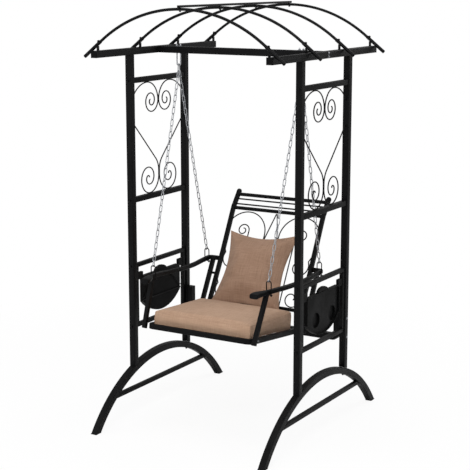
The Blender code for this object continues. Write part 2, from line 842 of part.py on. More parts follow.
def arm_stations(side):
    """The bowed run of the arm, then its bend inward to the stile."""
    bend_y = ARM_REAR_Y - ARM_BEND
    stations = []
    for along, front, dip in ARM_PATH_SHARES:
        y = ARM_FRONT_Y + along * (bend_y - ARM_FRONT_Y)
        z = ARM_TOP_Z - ARM_HEIGHT / 2 - dip * ARM_DIP
        stations.append(Vector((side * (ARM_X - front * ARM_FRONT_INSET), y, z)))
    z = stations[-1].z
    for x, y in arc((ARM_X - ARM_BEND, bend_y), ARM_BEND, 0, math.pi / 2, 3)[1:]:
        stations.append(Vector((side * x, y, z)))
    stations.append(Vector((side * (STILE_X + STILE / 2 + GAP), ARM_REAR_Y, z)))
    return stations


def bolt_crown(side, y):
    """Centre of the rod at the top of an arm bolt."""
    point = arm_point(side, y)
    return point + Vector((0, 0, ARM_HEIGHT / 2 + ARM_BOLT_HEIGHT - ARM_ROD))


def link_mesh(length, inner_width, wire_radius):
    """A chain link along Z: a ring of few faces, drawn out so that its crowns keep their round."""
    ring = bmesh.new()
    middle = inner_width / 2 + wire_radius
    straight = length / 2 - inner_width / 2
    rows = []
    for i in range(CHAIN_STATIONS):
        angle = math.pi * (2 * i + 1) / CHAIN_STATIONS
        out = Vector((math.cos(angle), 0, math.sin(angle)))
        shift = Vector((0, 0, math.copysign(straight, out.z)))
        row = []
        for k in range(CHAIN_SIDES):
            turn = math.pi + 2 * math.pi * k / CHAIN_SIDES
            offset = out * math.cos(turn) * wire_radius
            offset.y = math.sin(turn) * wire_radius
            row.append(ring.verts.new(out * middle + shift + offset))
        rows.append(row)
    for i, row in enumerate(rows):
        following = rows[(i + 1) % CHAIN_STATIONS]
        for k in range(CHAIN_SIDES):
            m = (k + 1) % CHAIN_SIDES
            ring.faces.new((row[k], row[m], following[m], following[k]))
    bmesh.ops.recalc_face_normals(ring, faces=ring.faces)
    return ring


def links_object(name, placements, length):
    """Several separate links in one mesh."""
    ring = link_mesh(length, CHAIN_INNER_WIDTH, CHAIN_WIRE)
    single = bpy.data.meshes.new(f"{name}_single")
    ring.to_mesh(single)
    ring.free()
    together = bmesh.new()
    for matrix in placements:
        before = set(together.verts)
        together.from_mesh(single)
        added = [vert for vert in together.verts if vert not in before]
        bmesh.ops.transform(together, matrix=matrix, verts=added)
    mesh = bpy.data.meshes.new(name)
    together.to_mesh(mesh)
    together.free()
    return place(name, mesh)


def chain(side, end):
    """Every second link is turned a quarter, and each sinks a little into the next at their bearing point."""
    name = f"{side_name(side)}_{end_name(end)}_chain"
    top = chain_top(side, end)
    bolt_y = FRONT_BOLT_Y if end < 0 else REAR_BOLT_Y
    crown = bolt_crown(side, bolt_y)
    base = crown - Vector((0, 0, ARM_ROD + GAP + CHAIN_WIRE))
    along = (base - top).normalized()
    bottom = base - along * (DELTA_HEIGHT - 2 * CHAIN_WIRE)
    run = (bottom - top).length
    count = 2 * round((run / CHAIN_PITCH - 1) / 2) + 1
    pitch = run / count
    length = pitch - CHAIN_SINK
    placements = ([], [])
    for i in range(count):
        centre = top + along * (length / 2 + CHAIN_WIRE + pitch * i)
        side_axis = Vector((1, 0, 0)) if i % 2 == 0 else Vector((0, 1, 0))
        across = (side_axis - along * along.dot(side_axis)).normalized()
        turn = Matrix((across, (-along).cross(across), -along)).transposed()
        placements[i % 2].append(Matrix.Translation(centre) @ turn.to_4x4())
    obj = links_object(name, placements[0], length)
    weld(obj, links_object(f"{name}_turned", placements[1], length))
    return weld(obj, delta_link(f"{name}_delta", bottom, along, end))


def delta_link(name, apex, along, end):
    """The triangular link: its point holds the last chain link and its base lies under the arm bolt."""
    side_axis = Vector((0, 1, 0))
    across = (side_axis - along * along.dot(side_axis)).normalized()
    half = DELTA_BASE / 2 - CHAIN_WIRE
    height = DELTA_HEIGHT - 2 * CHAIN_WIRE
    shape = (
        (-half * DELTA_POINT_SHARE, 0.0),
        (half * DELTA_POINT_SHARE, 0.0),
        (half, height - CHAIN_WIRE),
        (half * DELTA_BASE_SHARE, height),
        (-half * DELTA_BASE_SHARE, height),
        (-half, height - CHAIN_WIRE),
    )
    points = [apex + across * u + along * v for u, v in shape]
    return wire(name, points, CHAIN_WIRE, 0, cyclic=True)


def arm_bolt(side, end):
    """A U-bolt astride the arm, with a saddle plate below it and a nut on each leg."""
    name = f"{side_name(side)}_{end_name(end)}_arm_bolt"
    y = FRONT_BOLT_Y if end < 0 else REAR_BOLT_Y
    crown = bolt_crown(side, y)
    half = ARM_WIDTH / 2 + ARM_ROD + 2 * GAP
    near = arm_point(side, y - SADDLE_WIDTH / 2).z
    far = arm_point(side, y + SADDLE_WIDTH / 2).z
    plate_top = min(near, far) - ARM_HEIGHT / 2 - GAP
    plate_low = plate_top - SADDLE_THICKNESS
    low = plate_low - ARM_NUT_HEIGHT - ARM_NUT_HEIGHT / 2
    rise = arc((crown.x, crown.z - half), half, math.pi, 0, 6)
    path = [(crown.x - half, low), *rise, (crown.x + half, low)]
    obj = wire(name, [(u, y, v) for u, v in path], ARM_ROD, 1)
    size = (SADDLE_LENGTH, SADDLE_WIDTH, SADDLE_THICKNESS)
    weld(obj, block(f"{name}_saddle", size, (crown.x, y, (plate_top + plate_low) / 2)))
    for leg in (-1, 1):
        x = crown.x + leg * half
        start = (x, y, plate_low - ARM_NUT_HEIGHT)
        nut = prism(f"{name}_nut_{leg}", ARM_NUT_RADIUS, NUT_SIDES, start, (x, y, plate_low + WELD))
        weld(obj, nut)
    return obj


# Arms and their legs


def arm(side):
    """A bowed tube with a curled pad at its front end, welded to a front leg and a rear leg."""
    name = f"{side_name(side)}_arm"
    section = bpy.data.curves.new(f"{name}_section", "CURVE")
    section.dimensions = "2D"
    spline(section, [(u, v, 0) for u, v in chamfered(ARM_WIDTH, ARM_HEIGHT, ARM_CORNER)], True)
    profile = place(f"{name}_section", section)
    curve = bpy.data.curves.new(name, "CURVE")
    curve.dimensions = "3D"
    curve.twist_mode = "Z_UP"
    curve.bevel_mode = "OBJECT"
    curve.bevel_object = profile
    curve.use_fill_caps = True
    spline(curve, arm_stations(side), False)
    obj = as_mesh(place(name, curve))
    bpy.data.objects.remove(profile, do_unlink=True)
    weld(obj, arm_pad(side, name), front_leg(side, name), rear_leg(side, name))
    return obj


def arm_pad(side, name):
    """The pad: its plan tapers to the tube, its side view curls down in front, and the two are crossed."""
    front = arm_point(side, ARM_FRONT_Y)
    rear_y = ARM_FRONT_Y + PAD_LENGTH
    middle_y = ARM_FRONT_Y + PAD_LENGTH / 2
    rear = arm_point(side, rear_y)
    middle = arm_point(side, middle_y)
    half = PAD_WIDTH / 2
    tip = PAD_WIDTH / 4
    plan = [
        (front.x - half, ARM_FRONT_Y + tip),
        (front.x - tip, ARM_FRONT_Y),
        (front.x + tip, ARM_FRONT_Y),
        (front.x + half, ARM_FRONT_Y + tip),
        (middle.x + half, middle_y),
        (rear.x + ARM_WIDTH / 3, rear_y),
        (rear.x - ARM_WIDTH / 3, rear_y),
        (middle.x - half, middle_y),
    ]
    height = 4 * PAD_THICKNESS
    obj = plate(f"{name}_pad", [plan], height, IN_XY, (0, 0, front.z))
    top = front.z + ARM_HEIGHT / 2 + WELD
    low = top - PAD_THICKNESS
    profile = [
        (ARM_FRONT_Y - OVERRUN, low - PAD_CURL / 2),
        (ARM_FRONT_Y + tip, low - PAD_CURL),
        (ARM_FRONT_Y + 2 * tip, low),
        (rear_y + OVERRUN, rear.z - ARM_HEIGHT / 2 + ARM_CORNER),
        (rear_y + OVERRUN, rear.z + ARM_HEIGHT / 2 - ARM_CORNER),
        (middle_y, middle.z + ARM_HEIGHT / 2 + WELD),
        (ARM_FRONT_Y + tip, top),
        (ARM_FRONT_Y - OVERRUN, top - PAD_CURL),
    ]
    side_view = plate(f"{name}_pad_side", [profile], 3 * PAD_WIDTH, IN_YZ, (front.x, 0, 0))
    combine(obj, side_view, "INTERSECT")
    edge = obj.modifiers.new("edge", "BEVEL")
    edge.width = PAD_EDGE
    edge.segments = 1
    edge.limit_method = "ANGLE"
    return obj


def seat_height(y):
    """Middle of the seat rails, which fall towards the rear."""
    return SEAT_FRONT_TOP - SEAT_RAIL_HEIGHT / 2 - math.tan(SEAT_TILT) * (y - SEAT_FRONT_Y)


def leg_foot(side, y):
    return Vector((side * LEG_X, y, seat_height(y) - SEAT_RAIL_HEIGHT / 2))


def front_leg(side, name):
    foot = leg_foot(side, SEAT_FRONT_Y)
    top = arm_point(side, SEAT_FRONT_Y + FRONT_LEG_LEAN)
    return bar(f"{name}_front_leg", foot, top, [rectangle(LEG, LEG)])


def rear_leg(side, name):
    """A leg that stands beside the stile and follows its slope, with a spacer between the two."""
    top = Vector((side * LEG_X, ARM_REAR_Y, arm_stations(side)[-1].z))
    slope = Vector((0, -math.sin(BACK_TILT), -math.cos(BACK_TILT)))
    foot = leg_foot(side, ARM_REAR_Y - REAR_LEG_LEAN)
    foot.y = top.y + slope.y * (top.z - foot.z) / -slope.z
    obj = bar(f"{name}_rear_leg", foot, top, [rectangle(LEG, LEG)])
    middle = top + slope * SPACER_DROP
    outer = middle - Vector((side * (LEG / 2 - WELD), 0, 0))
    inner = Vector((side * (STILE_X + STILE / 2 + GAP), middle.y, middle.z))
    return weld(obj, prism(f"{name}_spacer", SPACER_RADIUS, 8, outer, inner, (0, 1, 0)))


# Seat frame and back rest


def seat_matrix():
    """The seat's own plane: first axis to the right, second to the rear, depth upward from the rail tops."""
    turn = Matrix.Rotation(-SEAT_TILT, 4, "X")
    return Matrix.Translation((0, SEAT_FRONT_Y, SEAT_FRONT_TOP)) @ turn


def seat_frame():
    """A bent rail round three sides with a cross rail at the rear, and slats let in below its top."""
    outer = SEAT_RAIL_X + SEAT_RAIL_WIDTH / 2
    middle = SEAT_CORNER - SEAT_RAIL_WIDTH / 2
    centre = outer - SEAT_CORNER
    quarter = math.pi / 2
    corner = arc((centre, SEAT_CORNER), middle, -quarter, 0, 4)
    right = [*corner, (SEAT_RAIL_X, SEAT_LENGTH)]
    line = [(-u, v) for u, v in right[::-1]] + right
    height = SEAT_RAIL_HEIGHT
    obj = plate("seat_frame", [band(line, SEAT_RAIL_WIDTH)], height)
    matrix = seat_matrix()
    obj.matrix_world = matrix @ Matrix.Translation((0, 0, -height / 2))
    span = 2 * (SEAT_RAIL_X - SEAT_RAIL_WIDTH / 2 + WELD)
    first = SEAT_RAIL_WIDTH + SLAT_WIDTH
    last = SEAT_LENGTH - SLAT_END
    for i in range(SLAT_COUNT):
        v = first + (last - first) * i / (SLAT_COUNT - 1)
        slat = block(f"seat_slat_{i + 1}", (span, SLAT_WIDTH, SLAT_THICKNESS), (0, 0, 0))
        drop = SLAT_DROP + SLAT_THICKNESS / 2
        slat.matrix_world = matrix @ Matrix.Translation((0, v, -drop))
        weld(obj, slat)
    return obj


def back_matrix():
    """The back's own plane: first axis to the right, second up the back, depth towards the sitter."""
    turn = Matrix.Rotation(math.pi / 2 - BACK_TILT, 4, "X")
    return Matrix.Translation((0, *STILE_TURN)) @ turn


def stile_line():
    """The bent line of the stiles in the YZ plane, from the seat to the head."""
    turn = Vector(STILE_TURN)
    rise = Vector((math.sin(BACK_TILT), math.cos(BACK_TILT)))
    head = Vector((math.sin(BACK_HEAD_TILT), math.cos(BACK_HEAD_TILT)))
    bow = Vector((-rise.y, rise.x)) * -BACK_BOW
    knee = turn + rise * BACK_LENGTH
    return [
        Vector(STILE_FOOT),
        turn,
        turn + rise * BACK_LENGTH / 2 + bow,
        knee,
        knee + (rise + head).normalized() * BACK_HEAD / 3,
        knee + (rise + head).normalized() * BACK_HEAD / 3 + head * BACK_HEAD * 2 / 3,
    ]


def head_point(share):
    """A place on the head of the stiles, as a share of the way down from their tops."""
    line = stile_line()[3:]
    total = BACK_HEAD
    left = total * (1 - share)
    for near, far in zip(line, line[1:]):
        step = (far - near).length
        if left <= step:
            return near.lerp(far, left / step)
        left -= step
    return line[-1]


def back_frame():
    """Two bent stiles joined by their cross bars, with the wire scrolls welded between them."""
    line = stile_line()
    outline = band([tuple(point) for point in line], STILE)
    stiles = []
    for side in (-1, 1):
        name = f"{side_name(side)}_stile"
        stile = plate(name, [outline], STILE, IN_YZ, (side * STILE_X, 0, 0))
        top = line[-1]
        ball = bmesh.new()
        place_ball = Matrix.Translation((side * STILE_X, top.x, top.y))
        bmesh.ops.create_uvsphere(ball, u_segments=8, v_segments=6, radius=BALL_RADIUS, matrix=place_ball)
        mesh = bpy.data.meshes.new(f"{name}_ball")
        ball.to_mesh(mesh)
        ball.free()
        stiles.append(weld(stile, place(f"{name}_ball", mesh)))
    left, right = stiles
    left.name = "back_frame"
    weld(left, *back_bars(), right, *back_wires())
    return left


def back_bars():
    """The head's two thick and two thin bars, and the thick bar at the foot of the back."""
    reach = STILE_X - STILE / 2 + WELD
    bars = []
    for number, share in enumerate(HEAD_BAR_SHARES, 1):
        point = head_point(share)
        radius = THICK_BAR if number in (1, len(HEAD_BAR_SHARES)) else THIN_BAR
        ends = [(-reach, *point), (reach, *point)]
        bars.append(wire(f"back_bar_{number}", ends, radius, 1))
    foot = Vector(STILE_TURN)
    bars.append(wire("back_bar_foot", [(-reach, *foot), (reach, *foot)], THICK_BAR, 1))
    return bars


def back_wires():
    """The scrolls of the back, each side a mirror of the other."""
    matrix = back_matrix()
    top = BACK_LENGTH
    reach = STILE_X - STILE / 2 + WELD
    inner = reach - 2 * SIDE_CURL_RADIUS - BACK_WIRE
    heart_x = reach - HEART_PLACE_SHARE * HEART_RADIUS
    heart_s = top - HEART_RADIUS
    start = math.acos((reach - heart_x) / HEART_RADIUS)
    heart = arc((heart_x, heart_s), HEART_RADIUS, start, math.pi, 8)
    heart.append((heart_x - HEART_RADIUS, 0))
    return heart_wires(matrix, heart) + scroll_wires(matrix, inner, heart_s + CURL_RADIUS / 2, reach)


def heart_wires(matrix, heart):
    wires = []
    for side in (-1, 1):
        points = [matrix @ Vector((side * x, s, 0)) for x, s in heart]
        wires.append(wire(f"back_heart_{side_name(side)}", points, BACK_WIRE))
    return wires


def scroll_wires(matrix, post_x, curl_s, reach):
    wires = []
    size = SIDE_CURL_RADIUS
    turn = -CURL_QUARTERS * math.pi / 2
    stem = [(post_x, 0), (post_x, curl_s)]
    centre = (post_x + CURL_RADIUS, curl_s)
    stem += spiral(centre, CURL_RADIUS, math.pi, turn, CURL_DECREMENT_SHARE * CURL_RADIUS)
    lines = [("stem", stem)]
    turn = -SIDE_CURL_EIGHTHS * math.pi / 4
    for label, share in (("middle_curl", MIDDLE_CURL_SHARE), ("low_curl", LOW_CURL_SHARE)):
        s = BACK_LENGTH * share
        decrement = SIDE_CURL_DECREMENT_SHARE * size
        curl = spiral((reach - size, s), size, math.pi / 4, turn, decrement)
        lines.append((label, [(reach, s + size), *curl]))
    for side in (-1, 1):
        for label, line in lines:
            points = [matrix @ Vector((side * x, s, 0)) for x, s in line]
            wires.append(wire(f"back_{label}_{side_name(side)}", points, BACK_WIRE))
    return wires


# Cushions


def soft_block(name, size, crown, draw, fullness, cells, wedge=0.0):
    """A stuffed cushion: two sheets that meet in a seam, with a crown, drawn-in sides and a thicker rear."""
    width, depth, thickness = size
    shell = bmesh.new()
    for face_side in (-1, 1):
        sheet = []
        for i in range(cells + 1):
            u = math.sin(math.pi / 2 * (2 * i / cells - 1))
            row = []
            for j in range(cells + 1):
                v = math.sin(math.pi / 2 * (2 * j / cells - 1))
                x = u * (width / 2 - draw * (1 - v * v) * u * u)
                y = v * (depth / 2 - draw * (1 - u * u) * v * v)
                fill = ((1 - abs(u) ** fullness) * (1 - abs(v) ** fullness)) ** (1 / fullness)
                extra = wedge * (1 + v) / 2
                z = extra / 2 + face_side * (thickness + extra) / 2 * fill
                if face_side > 0:
                    z += crown * (1 - u * u) * (1 - v * v)
                row.append(shell.verts.new((x, y, z)))
            sheet.append(row)
        for i in range(cells):
            for j in range(cells):
                corners = [sheet[i][j], sheet[i + 1][j], sheet[i + 1][j + 1], sheet[i][j + 1]]
                shell.faces.new(corners if face_side > 0 else corners[::-1])
    bmesh.ops.remove_doubles(shell, verts=shell.verts, dist=GAP / 100)
    mesh = bpy.data.meshes.new(name)
    shell.to_mesh(mesh)
    shell.free()
    mesh.shade_smooth()
    return place(name, mesh)


def seat_cushion():
    obj = soft_block(
        "seat_cushion",
        (CUSHION_WIDTH, CUSHION_DEPTH, CUSHION_THICKNESS),
        CUSHION_CROWN,
        CUSHION_DRAW,
        CUSHION_FULLNESS,
        CUSHION_CELLS,
        CUSHION_WEDGE,
    )
    lift = CUSHION_THICKNESS / 2 - SLAT_DROP + GAP
    middle = CUSHION_FRONT_INSET + CUSHION_DEPTH / 2
    obj.matrix_world = seat_matrix() @ Matrix.Translation((0, middle, lift))
    return obj


def back_pillow():
    """The loose pillow stands on the seat cushion and leans back, top first, against the wires of the back."""
    obj = soft_block(
        "back_pillow",
        (PILLOW_SIDE, PILLOW_HEIGHT, PILLOW_THICKNESS),
        0,
        PILLOW_DRAW,
        PILLOW_FULLNESS,
        PILLOW_CELLS,
    )
    foot = back_matrix() @ Matrix.Translation((0, PILLOW_LIFT, PILLOW_OFFSET))
    lean = Matrix.Rotation(-PILLOW_RECLINE, 4, "X")
    obj.matrix_world = foot @ lean @ Matrix.Translation((0, PILLOW_HEIGHT / 2, 0))
    return obj


# Trays and stays


def tray_outline(inset):
    """The half-moon of the tray, drawn in by an inset."""
    half = TRAY_HALF_WIDTH - inset
    top = TRAY_TOP - inset
    sag = TRAY_SHOULDER - TRAY_BOTTOM
    radius = (TRAY_HALF_WIDTH**2 + sag**2) / (2 * sag)
    centre_z = TRAY_BOTTOM + radius
    inner = radius - inset
    reach = math.asin(half / inner)
    bottom = arc((0, centre_z), inner, -math.pi / 2 - reach, -math.pi / 2 + reach, 12)
    corner = max(TRAY_CORNER - inset, inset)
    right = arc((half - corner, top - corner), corner, 0, math.pi / 2, 3)
    left = arc((corner - half, top - corner), corner, math.pi / 2, math.pi, 3)
    return bottom + right + left


def tray(side):
    """A moulded half-moon shell, recessed on its outer face, with cups, knuckles, pins and stay lugs."""
    name = f"{side_name(side)}_tray"
    x = side * FRAME_X
    obj = plate(name, [tray_outline(0)], TRAY_THICKNESS, IN_YZ, (x, 0, 0))
    outer_face = FRAME_X + TRAY_THICKNESS / 2
    recess_depth = TRAY_RECESS + OVERRUN
    recess_x = side * (outer_face - TRAY_RECESS + recess_depth / 2)
    recess = plate(f"{name}_recess", [tray_outline(TRAY_RIM)], recess_depth, IN_YZ, (recess_x, 0, 0))
    cut(obj, recess)
    cup_inner = side * (FRAME_X - TRAY_THICKNESS / 2 + CUP_FLOOR)
    for end, y in ((-1, CUP_FRONT_Y), (1, CUP_REAR_Y)):
        start = (cup_inner, y, CUP_Z)
        mouth = (side * (outer_face + OVERRUN), y, CUP_Z)
        cut(obj, prism(f"{name}_{end_name(end)}_cup", CUP_RADIUS, 16, start, mouth, (0, 1, 0)))
    weld(obj, tray_bump(side, name))
    for end in (-1, 1):
        weld(obj, tray_knuckle(side, end, name), tray_lug(side, end, name))
    return obj


def tray_bump(side, name):
    """The raised grip in the middle of the tray's top edge."""
    foot = TRAY_TOP - WELD
    outline = [(u * BUMP_HALF_WIDTH, foot + v * BUMP_HEIGHT) for u, v in arc((0, 0), 1, 0, math.pi, 6)]
    return plate(f"{name}_bump", [outline], TRAY_THICKNESS - 2 * TRAY_RIM, IN_YZ, (side * FRAME_X, 0, 0))


def tray_knuckle(side, end, name):
    """The block at the end of the hinge, with its pin in the tray frame's upright."""
    x = side * FRAME_X
    face = BAY - TRAY_TUBE - 2 * GAP
    low = TRAY_TOP - TRAY_CORNER
    high = TRAY_AXIS_Z + KNUCKLE_HALF
    size = (KNUCKLE_THICKNESS, KNUCKLE_LENGTH, high - low)
    centre = (x, end * (face - KNUCKLE_LENGTH / 2), (high + low) / 2)
    obj = block(f"{name}_{end_name(end)}_knuckle", size, centre)
    start = (x, end * (face - PIN_LENGTH), TRAY_AXIS_Z)
    tip = (x, end * (face + PIN_LENGTH), TRAY_AXIS_Z)
    return weld(obj, prism(f"{name}_{end_name(end)}_pin", PIN_RADIUS, 8, start, tip))


def lug_x():
    """Distance of the stay's pivot from the middle of the chair."""
    return FRAME_X - TRAY_THICKNESS / 2 - LUG_REACH / 2


def tray_lug(side, end, name):
    inner = lug_x() - LUG_REACH / 2
    outer = FRAME_X - TRAY_THICKNESS / 2 + WELD
    centre = (side * (inner + outer) / 2, end * LUG_Y, LUG_Z)
    obj = block(f"{name}_{end_name(end)}_lug", (outer - inner, LUG_SIDE, LUG_SIDE), centre)
    reach = LUG_SIDE / 2 + OVERRUN
    start = (side * lug_x(), end * (LUG_Y - reach), LUG_Z)
    stop = (side * lug_x(), end * (LUG_Y + reach), LUG_Z)
    hole = prism(f"{name}_{end_name(end)}_lug_hole", STAY_WIRE + GAP, 8, start, stop)
    return cut(obj, hole)


def stay(side):
    """A bent wire whose ends turn inward through the tray's lugs."""
    shoulder_y, shoulder_z = STAY_SHOULDER_SHARES
    outer = LUG_Y + LUG_SIDE / 2 + STAY_WIRE + RUN
    tip = LUG_Y - LUG_SIDE / 2 - RUN
    middle_y = outer + shoulder_y * (STAY_BAR_HALF - outer)
    middle_z = STAY_BAR_Z + shoulder_z * (LUG_Z - STAY_BAR_Z)
    centre = (STAY_BAR_HALF - STAY_BEND, STAY_BAR_Z + STAY_BEND)
    bend = arc(centre, STAY_BEND, STAY_BEND_END, -math.pi / 2, 3)
    half = [(tip, LUG_Z), (outer, LUG_Z), (middle_y, middle_z), *bend]
    line = [(-y, z) for y, z in half] + half[::-1]
    points = [(side * lug_x(), y, z) for y, z in line]
    return wire(f"{side_name(side)}_stay", points, STAY_WIRE, 1)


def build_side(side):
    """Everything that one side frame carries."""
    name = side_name(side)
    saddle = hide(arch_saddle(side, f"{name}_arch_saddle"))
    steel = [foot_arch(side), foot_brace(side, saddle)]
    steel += [post(side, end, saddle) for end in (-1, 1)]
    steel += [rail(side, "top", TOP_RAIL_TOP), rail(side, "middle", MIDDLE_RAIL_TOP)]
    steel += [tray_frame(side), roof_beam(side)]
    steel.append(scroll_pair(f"{name}_upper_scrolls", upper_scroll_half(), side))
    steel.append(scroll_pair(f"{name}_lower_scrolls", lower_scroll_half(), side))
    steel += [arm(side), stay(side)]
    steel += [arm_bolt(side, end) for end in (-1, 1)]
    for obj in steel:
        finish(obj, BLACK_STEEL)
    plastic = [tray(side)]
    for end in (-1, 1):
        plastic += [foot_cap(side, end), beam_cap(side, end)]
    for obj in plastic:
        finish(obj, BLACK_PLASTIC)
    zinc = [hanger_bolt(side), hanger_link(side)]
    zinc += [chain(side, end) for end in (-1, 1)]
    for obj in zinc:
        finish(obj, ZINC)


def build_middle():
    """Everything that lies across the chair."""
    steel = [rear_stretcher(), cross_beam(), ridge_bar(), seat_frame(), back_frame()]
    steel += [roof_arch(number, y) for number, y in enumerate(roof_places(), 1)]
    for obj in steel:
        finish(obj, BLACK_STEEL)
    for obj in (seat_cushion(), back_pillow()):
        finish(obj, TAN_CLOTH)


def main():
    for side in (-1, 1):
        build_side(side)
    build_middle()


main()
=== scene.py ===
"""The looks of the canopy swing chair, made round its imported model.

Lengths are metres. The sitter faces -Y, +X is right in the picture, and the floor is at Z = 0.
"""

import math
from contextlib import contextmanager
from math import pi as PI

import bmesh
import bpy
from mathutils import Matrix, Vector
from mathutils.bvhtree import BVHTree


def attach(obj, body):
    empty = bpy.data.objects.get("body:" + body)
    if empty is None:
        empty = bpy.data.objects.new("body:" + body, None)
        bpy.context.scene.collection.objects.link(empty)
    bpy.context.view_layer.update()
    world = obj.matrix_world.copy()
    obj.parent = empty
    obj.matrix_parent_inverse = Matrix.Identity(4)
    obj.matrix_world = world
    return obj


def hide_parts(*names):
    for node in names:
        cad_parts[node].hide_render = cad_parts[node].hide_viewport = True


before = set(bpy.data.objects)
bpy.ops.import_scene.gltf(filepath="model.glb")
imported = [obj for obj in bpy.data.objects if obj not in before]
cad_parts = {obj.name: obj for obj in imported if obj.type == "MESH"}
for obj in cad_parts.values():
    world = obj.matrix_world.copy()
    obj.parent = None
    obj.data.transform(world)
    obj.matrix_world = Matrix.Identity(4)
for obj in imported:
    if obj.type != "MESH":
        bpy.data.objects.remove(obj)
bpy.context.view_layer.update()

SIDES = {"left": -1, "right": 1}
ENDS = {"front": -1, "rear": 1}
X_AXIS, Y_AXIS, Z_AXIS = (1.0, 0.0, 0.0), (0.0, 1.0, 0.0), (0.0, 0.0, 1.0)
# Space between pieces that touch, play between a wire and what it goes round, and one point
GAP = 0.0003
PLAY = 0.0006
MERGE = 1e-6
# The corner radius that makes a square section round, as a share of half its side
ROUND = 0.999

# Sections of the square tubes: width, height and corner radius
TUBE = 0.032
RAIL = 0.025
THIN = 0.020
THIN_CORNER = 0.0022
TUBE_SECTION = (TUBE, TUBE, 0.003)
RAIL_SECTION = (RAIL, RAIL, THIN_CORNER)
THIN_SECTION = (THIN, THIN, THIN_CORNER)

# Standing frame
FRAME_X = 0.4524
POST_Y = 0.236
BEAM_BOTTOM = 1.764
BEAM_HALF_LENGTH = 0.514
BEAM_TOP = BEAM_BOTTOM + TUBE
BEAM_MIDDLE = BEAM_BOTTOM + TUBE / 2
BEAM_INNER_X = FRAME_X - TUBE / 2
BEAM_OUTER_X = FRAME_X + TUBE / 2
BAY = POST_Y - TUBE / 2
ARCH_RADIUS = 0.715
ARCH_TOP = 0.297
ARCH_CENTRE_Z = ARCH_TOP - ARCH_RADIUS
FOOT_CAP = 0.003
BRACE_Z = 0.138
RAIL_TOPS = {"top": 1.6551, "middle": 1.0848}
TRAY_FRAME_TOP = 0.7595
TRAY_FRAME_BOTTOM = 0.4414
STRETCHER_BOTTOM = 0.391
STRETCHER_TOP = 0.5577
STRETCHER_BEND = 0.024

# Scrolls of the side frames, as shares of the half bay
SCROLL_WIRE = 0.003
SCROLL_STEP = math.radians(9)
PEAK_SHARE = 0.428
OUTER_SHARE = 0.677
UPPER_SIZE_SHARE = 0.273
UPPER_LOSS_SHARE = 0.0355
UPPER_TURN = -3.25 * PI
ELBOW_SHARE = 0.386
LOWER_SIZE_SHARE = 0.384
LOWER_LOSS_SHARE = 0.0486
LOWER_DROP_SHARE = 0.135
LOWER_TURN = -3.8 * PI

# Roof
ROOF_RADIUS = 0.683
ROOF_ANGLE = math.radians(38)
ROOF_WIRE = 0.0065
ROOF_PLACES = (-0.498, -0.164, 0.164, 0.498)
SLEEVE_RADIUS = 0.008
SLEEVE_LENGTH = 0.114
SLEEVE_INSET = 0.027
SLEEVE_PLUG = 0.025
SLEEVE_SINK = 0.001
SLEEVE_SIDES = 20
STUB_SECTION = (0.008, 0.012, 0.001)
STUB_INSET = 0.001
STUB_X = BEAM_INNER_X + STUB_INSET + STUB_SECTION[0] / 2
RIDGE_SECTION = (0.010, 0.010, 0.0012)
RIDGE_OVERHANG = 0.016
ROOF_CENTRE_Z = BEAM_TOP - (
    (ROOF_RADIUS - SLEEVE_RADIUS + SLEEVE_SINK) - BEAM_OUTER_X * math.sin(ROOF_ANGLE)
) / math.cos(ROOF_ANGLE)

# Nuts and bolt heads: radius, height and radius of the washer
HANGER_NUT = (0.0062, 0.005, 0.0085)
ARM_NUT = (0.0046, 0.004, 0.0058)
FRAME_BOLT = (0.0052, 0.0042, 0.0068)
FRAME_NUT = (0.0050, 0.0045, 0.0062)
SEAT_BOLT = (0.0046, 0.0038, 0.0058)
HANGER_BOLT_SPREAD = 0.008
STRETCHER_BOLTS = (0.413, 0.507)
SLEEVE_NUT_INSET = 0.010
SEAT_BOLT_Y = -0.313
BOLT_EDGE = 0.0004

# Hangers and chains
HANGER_X = 0.3312
HANGER_ROD = 0.003
HANGER_HALF = 0.010
HANGER_BEND = 0.006
HANGER_THREAD = 0.011
HINGE_DROP = 0.057
HINGE_Z = BEAM_BOTTOM - HINGE_DROP
LINK_WIRE = 0.0025
LINK_HEIGHT = 0.025
CHAIN_WIRE = 0.002
CHAIN_PITCH = 0.0306
CHAIN_INNER_WIDTH = 0.0085
CHAIN_SINK = 0.0008
DELTA_BASE = 0.021
DELTA_HEIGHT = 0.031
DELTA_CORNER = 0.003
DELTA_TIP = 0.0032
DELTA_STARTS = (-0.15, 0.55, 1.12)
DELTA_SWEEP = 0.6

# Arms
ARM_ROD = 0.0025
ARM_BOLT_HEIGHT = 0.043
BOLT_Y = {-1: -0.2635, 1: 0.230}
BOLT_THREAD = 0.006
SADDLE_REACH = 0.017
SADDLE_SECTION = (0.010, 0.003, 0.0006)
ARM_WIDTH = 0.018
ARM_HEIGHT = 0.022
ARM_CORNER = 0.005
ARM_X = 0.320
ARM_FRONT_Y = -0.370
ARM_REAR_Y = 0.259
ARM_TOP_Z = 0.7345
ARM_DIP = 0.0165
ARM_FRONT_INSET = 0.0284
ARM_BEND = 0.016
# Along the arm, share of the front inset, share of the dip
ARM_PATH_SHARES = (
    (0.04, 0.88, 0.0), (0.115, 0.40, 0.0), (0.195, 0.10, 0.08), (0.28, 0.0, 0.25),
    (0.42, 0.0, 0.65), (0.60, 0.0, 0.95), (0.77, 0.0, 1.0), (0.90, 0.0, 0.6), (1.0, 0.0, 0.35),
)
PAD_LENGTH = 0.088
PAD_WIDTH = 0.043
PAD_THICKNESS = 0.019
PAD_CURL = 0.007
PAD_LIFT = 0.0006
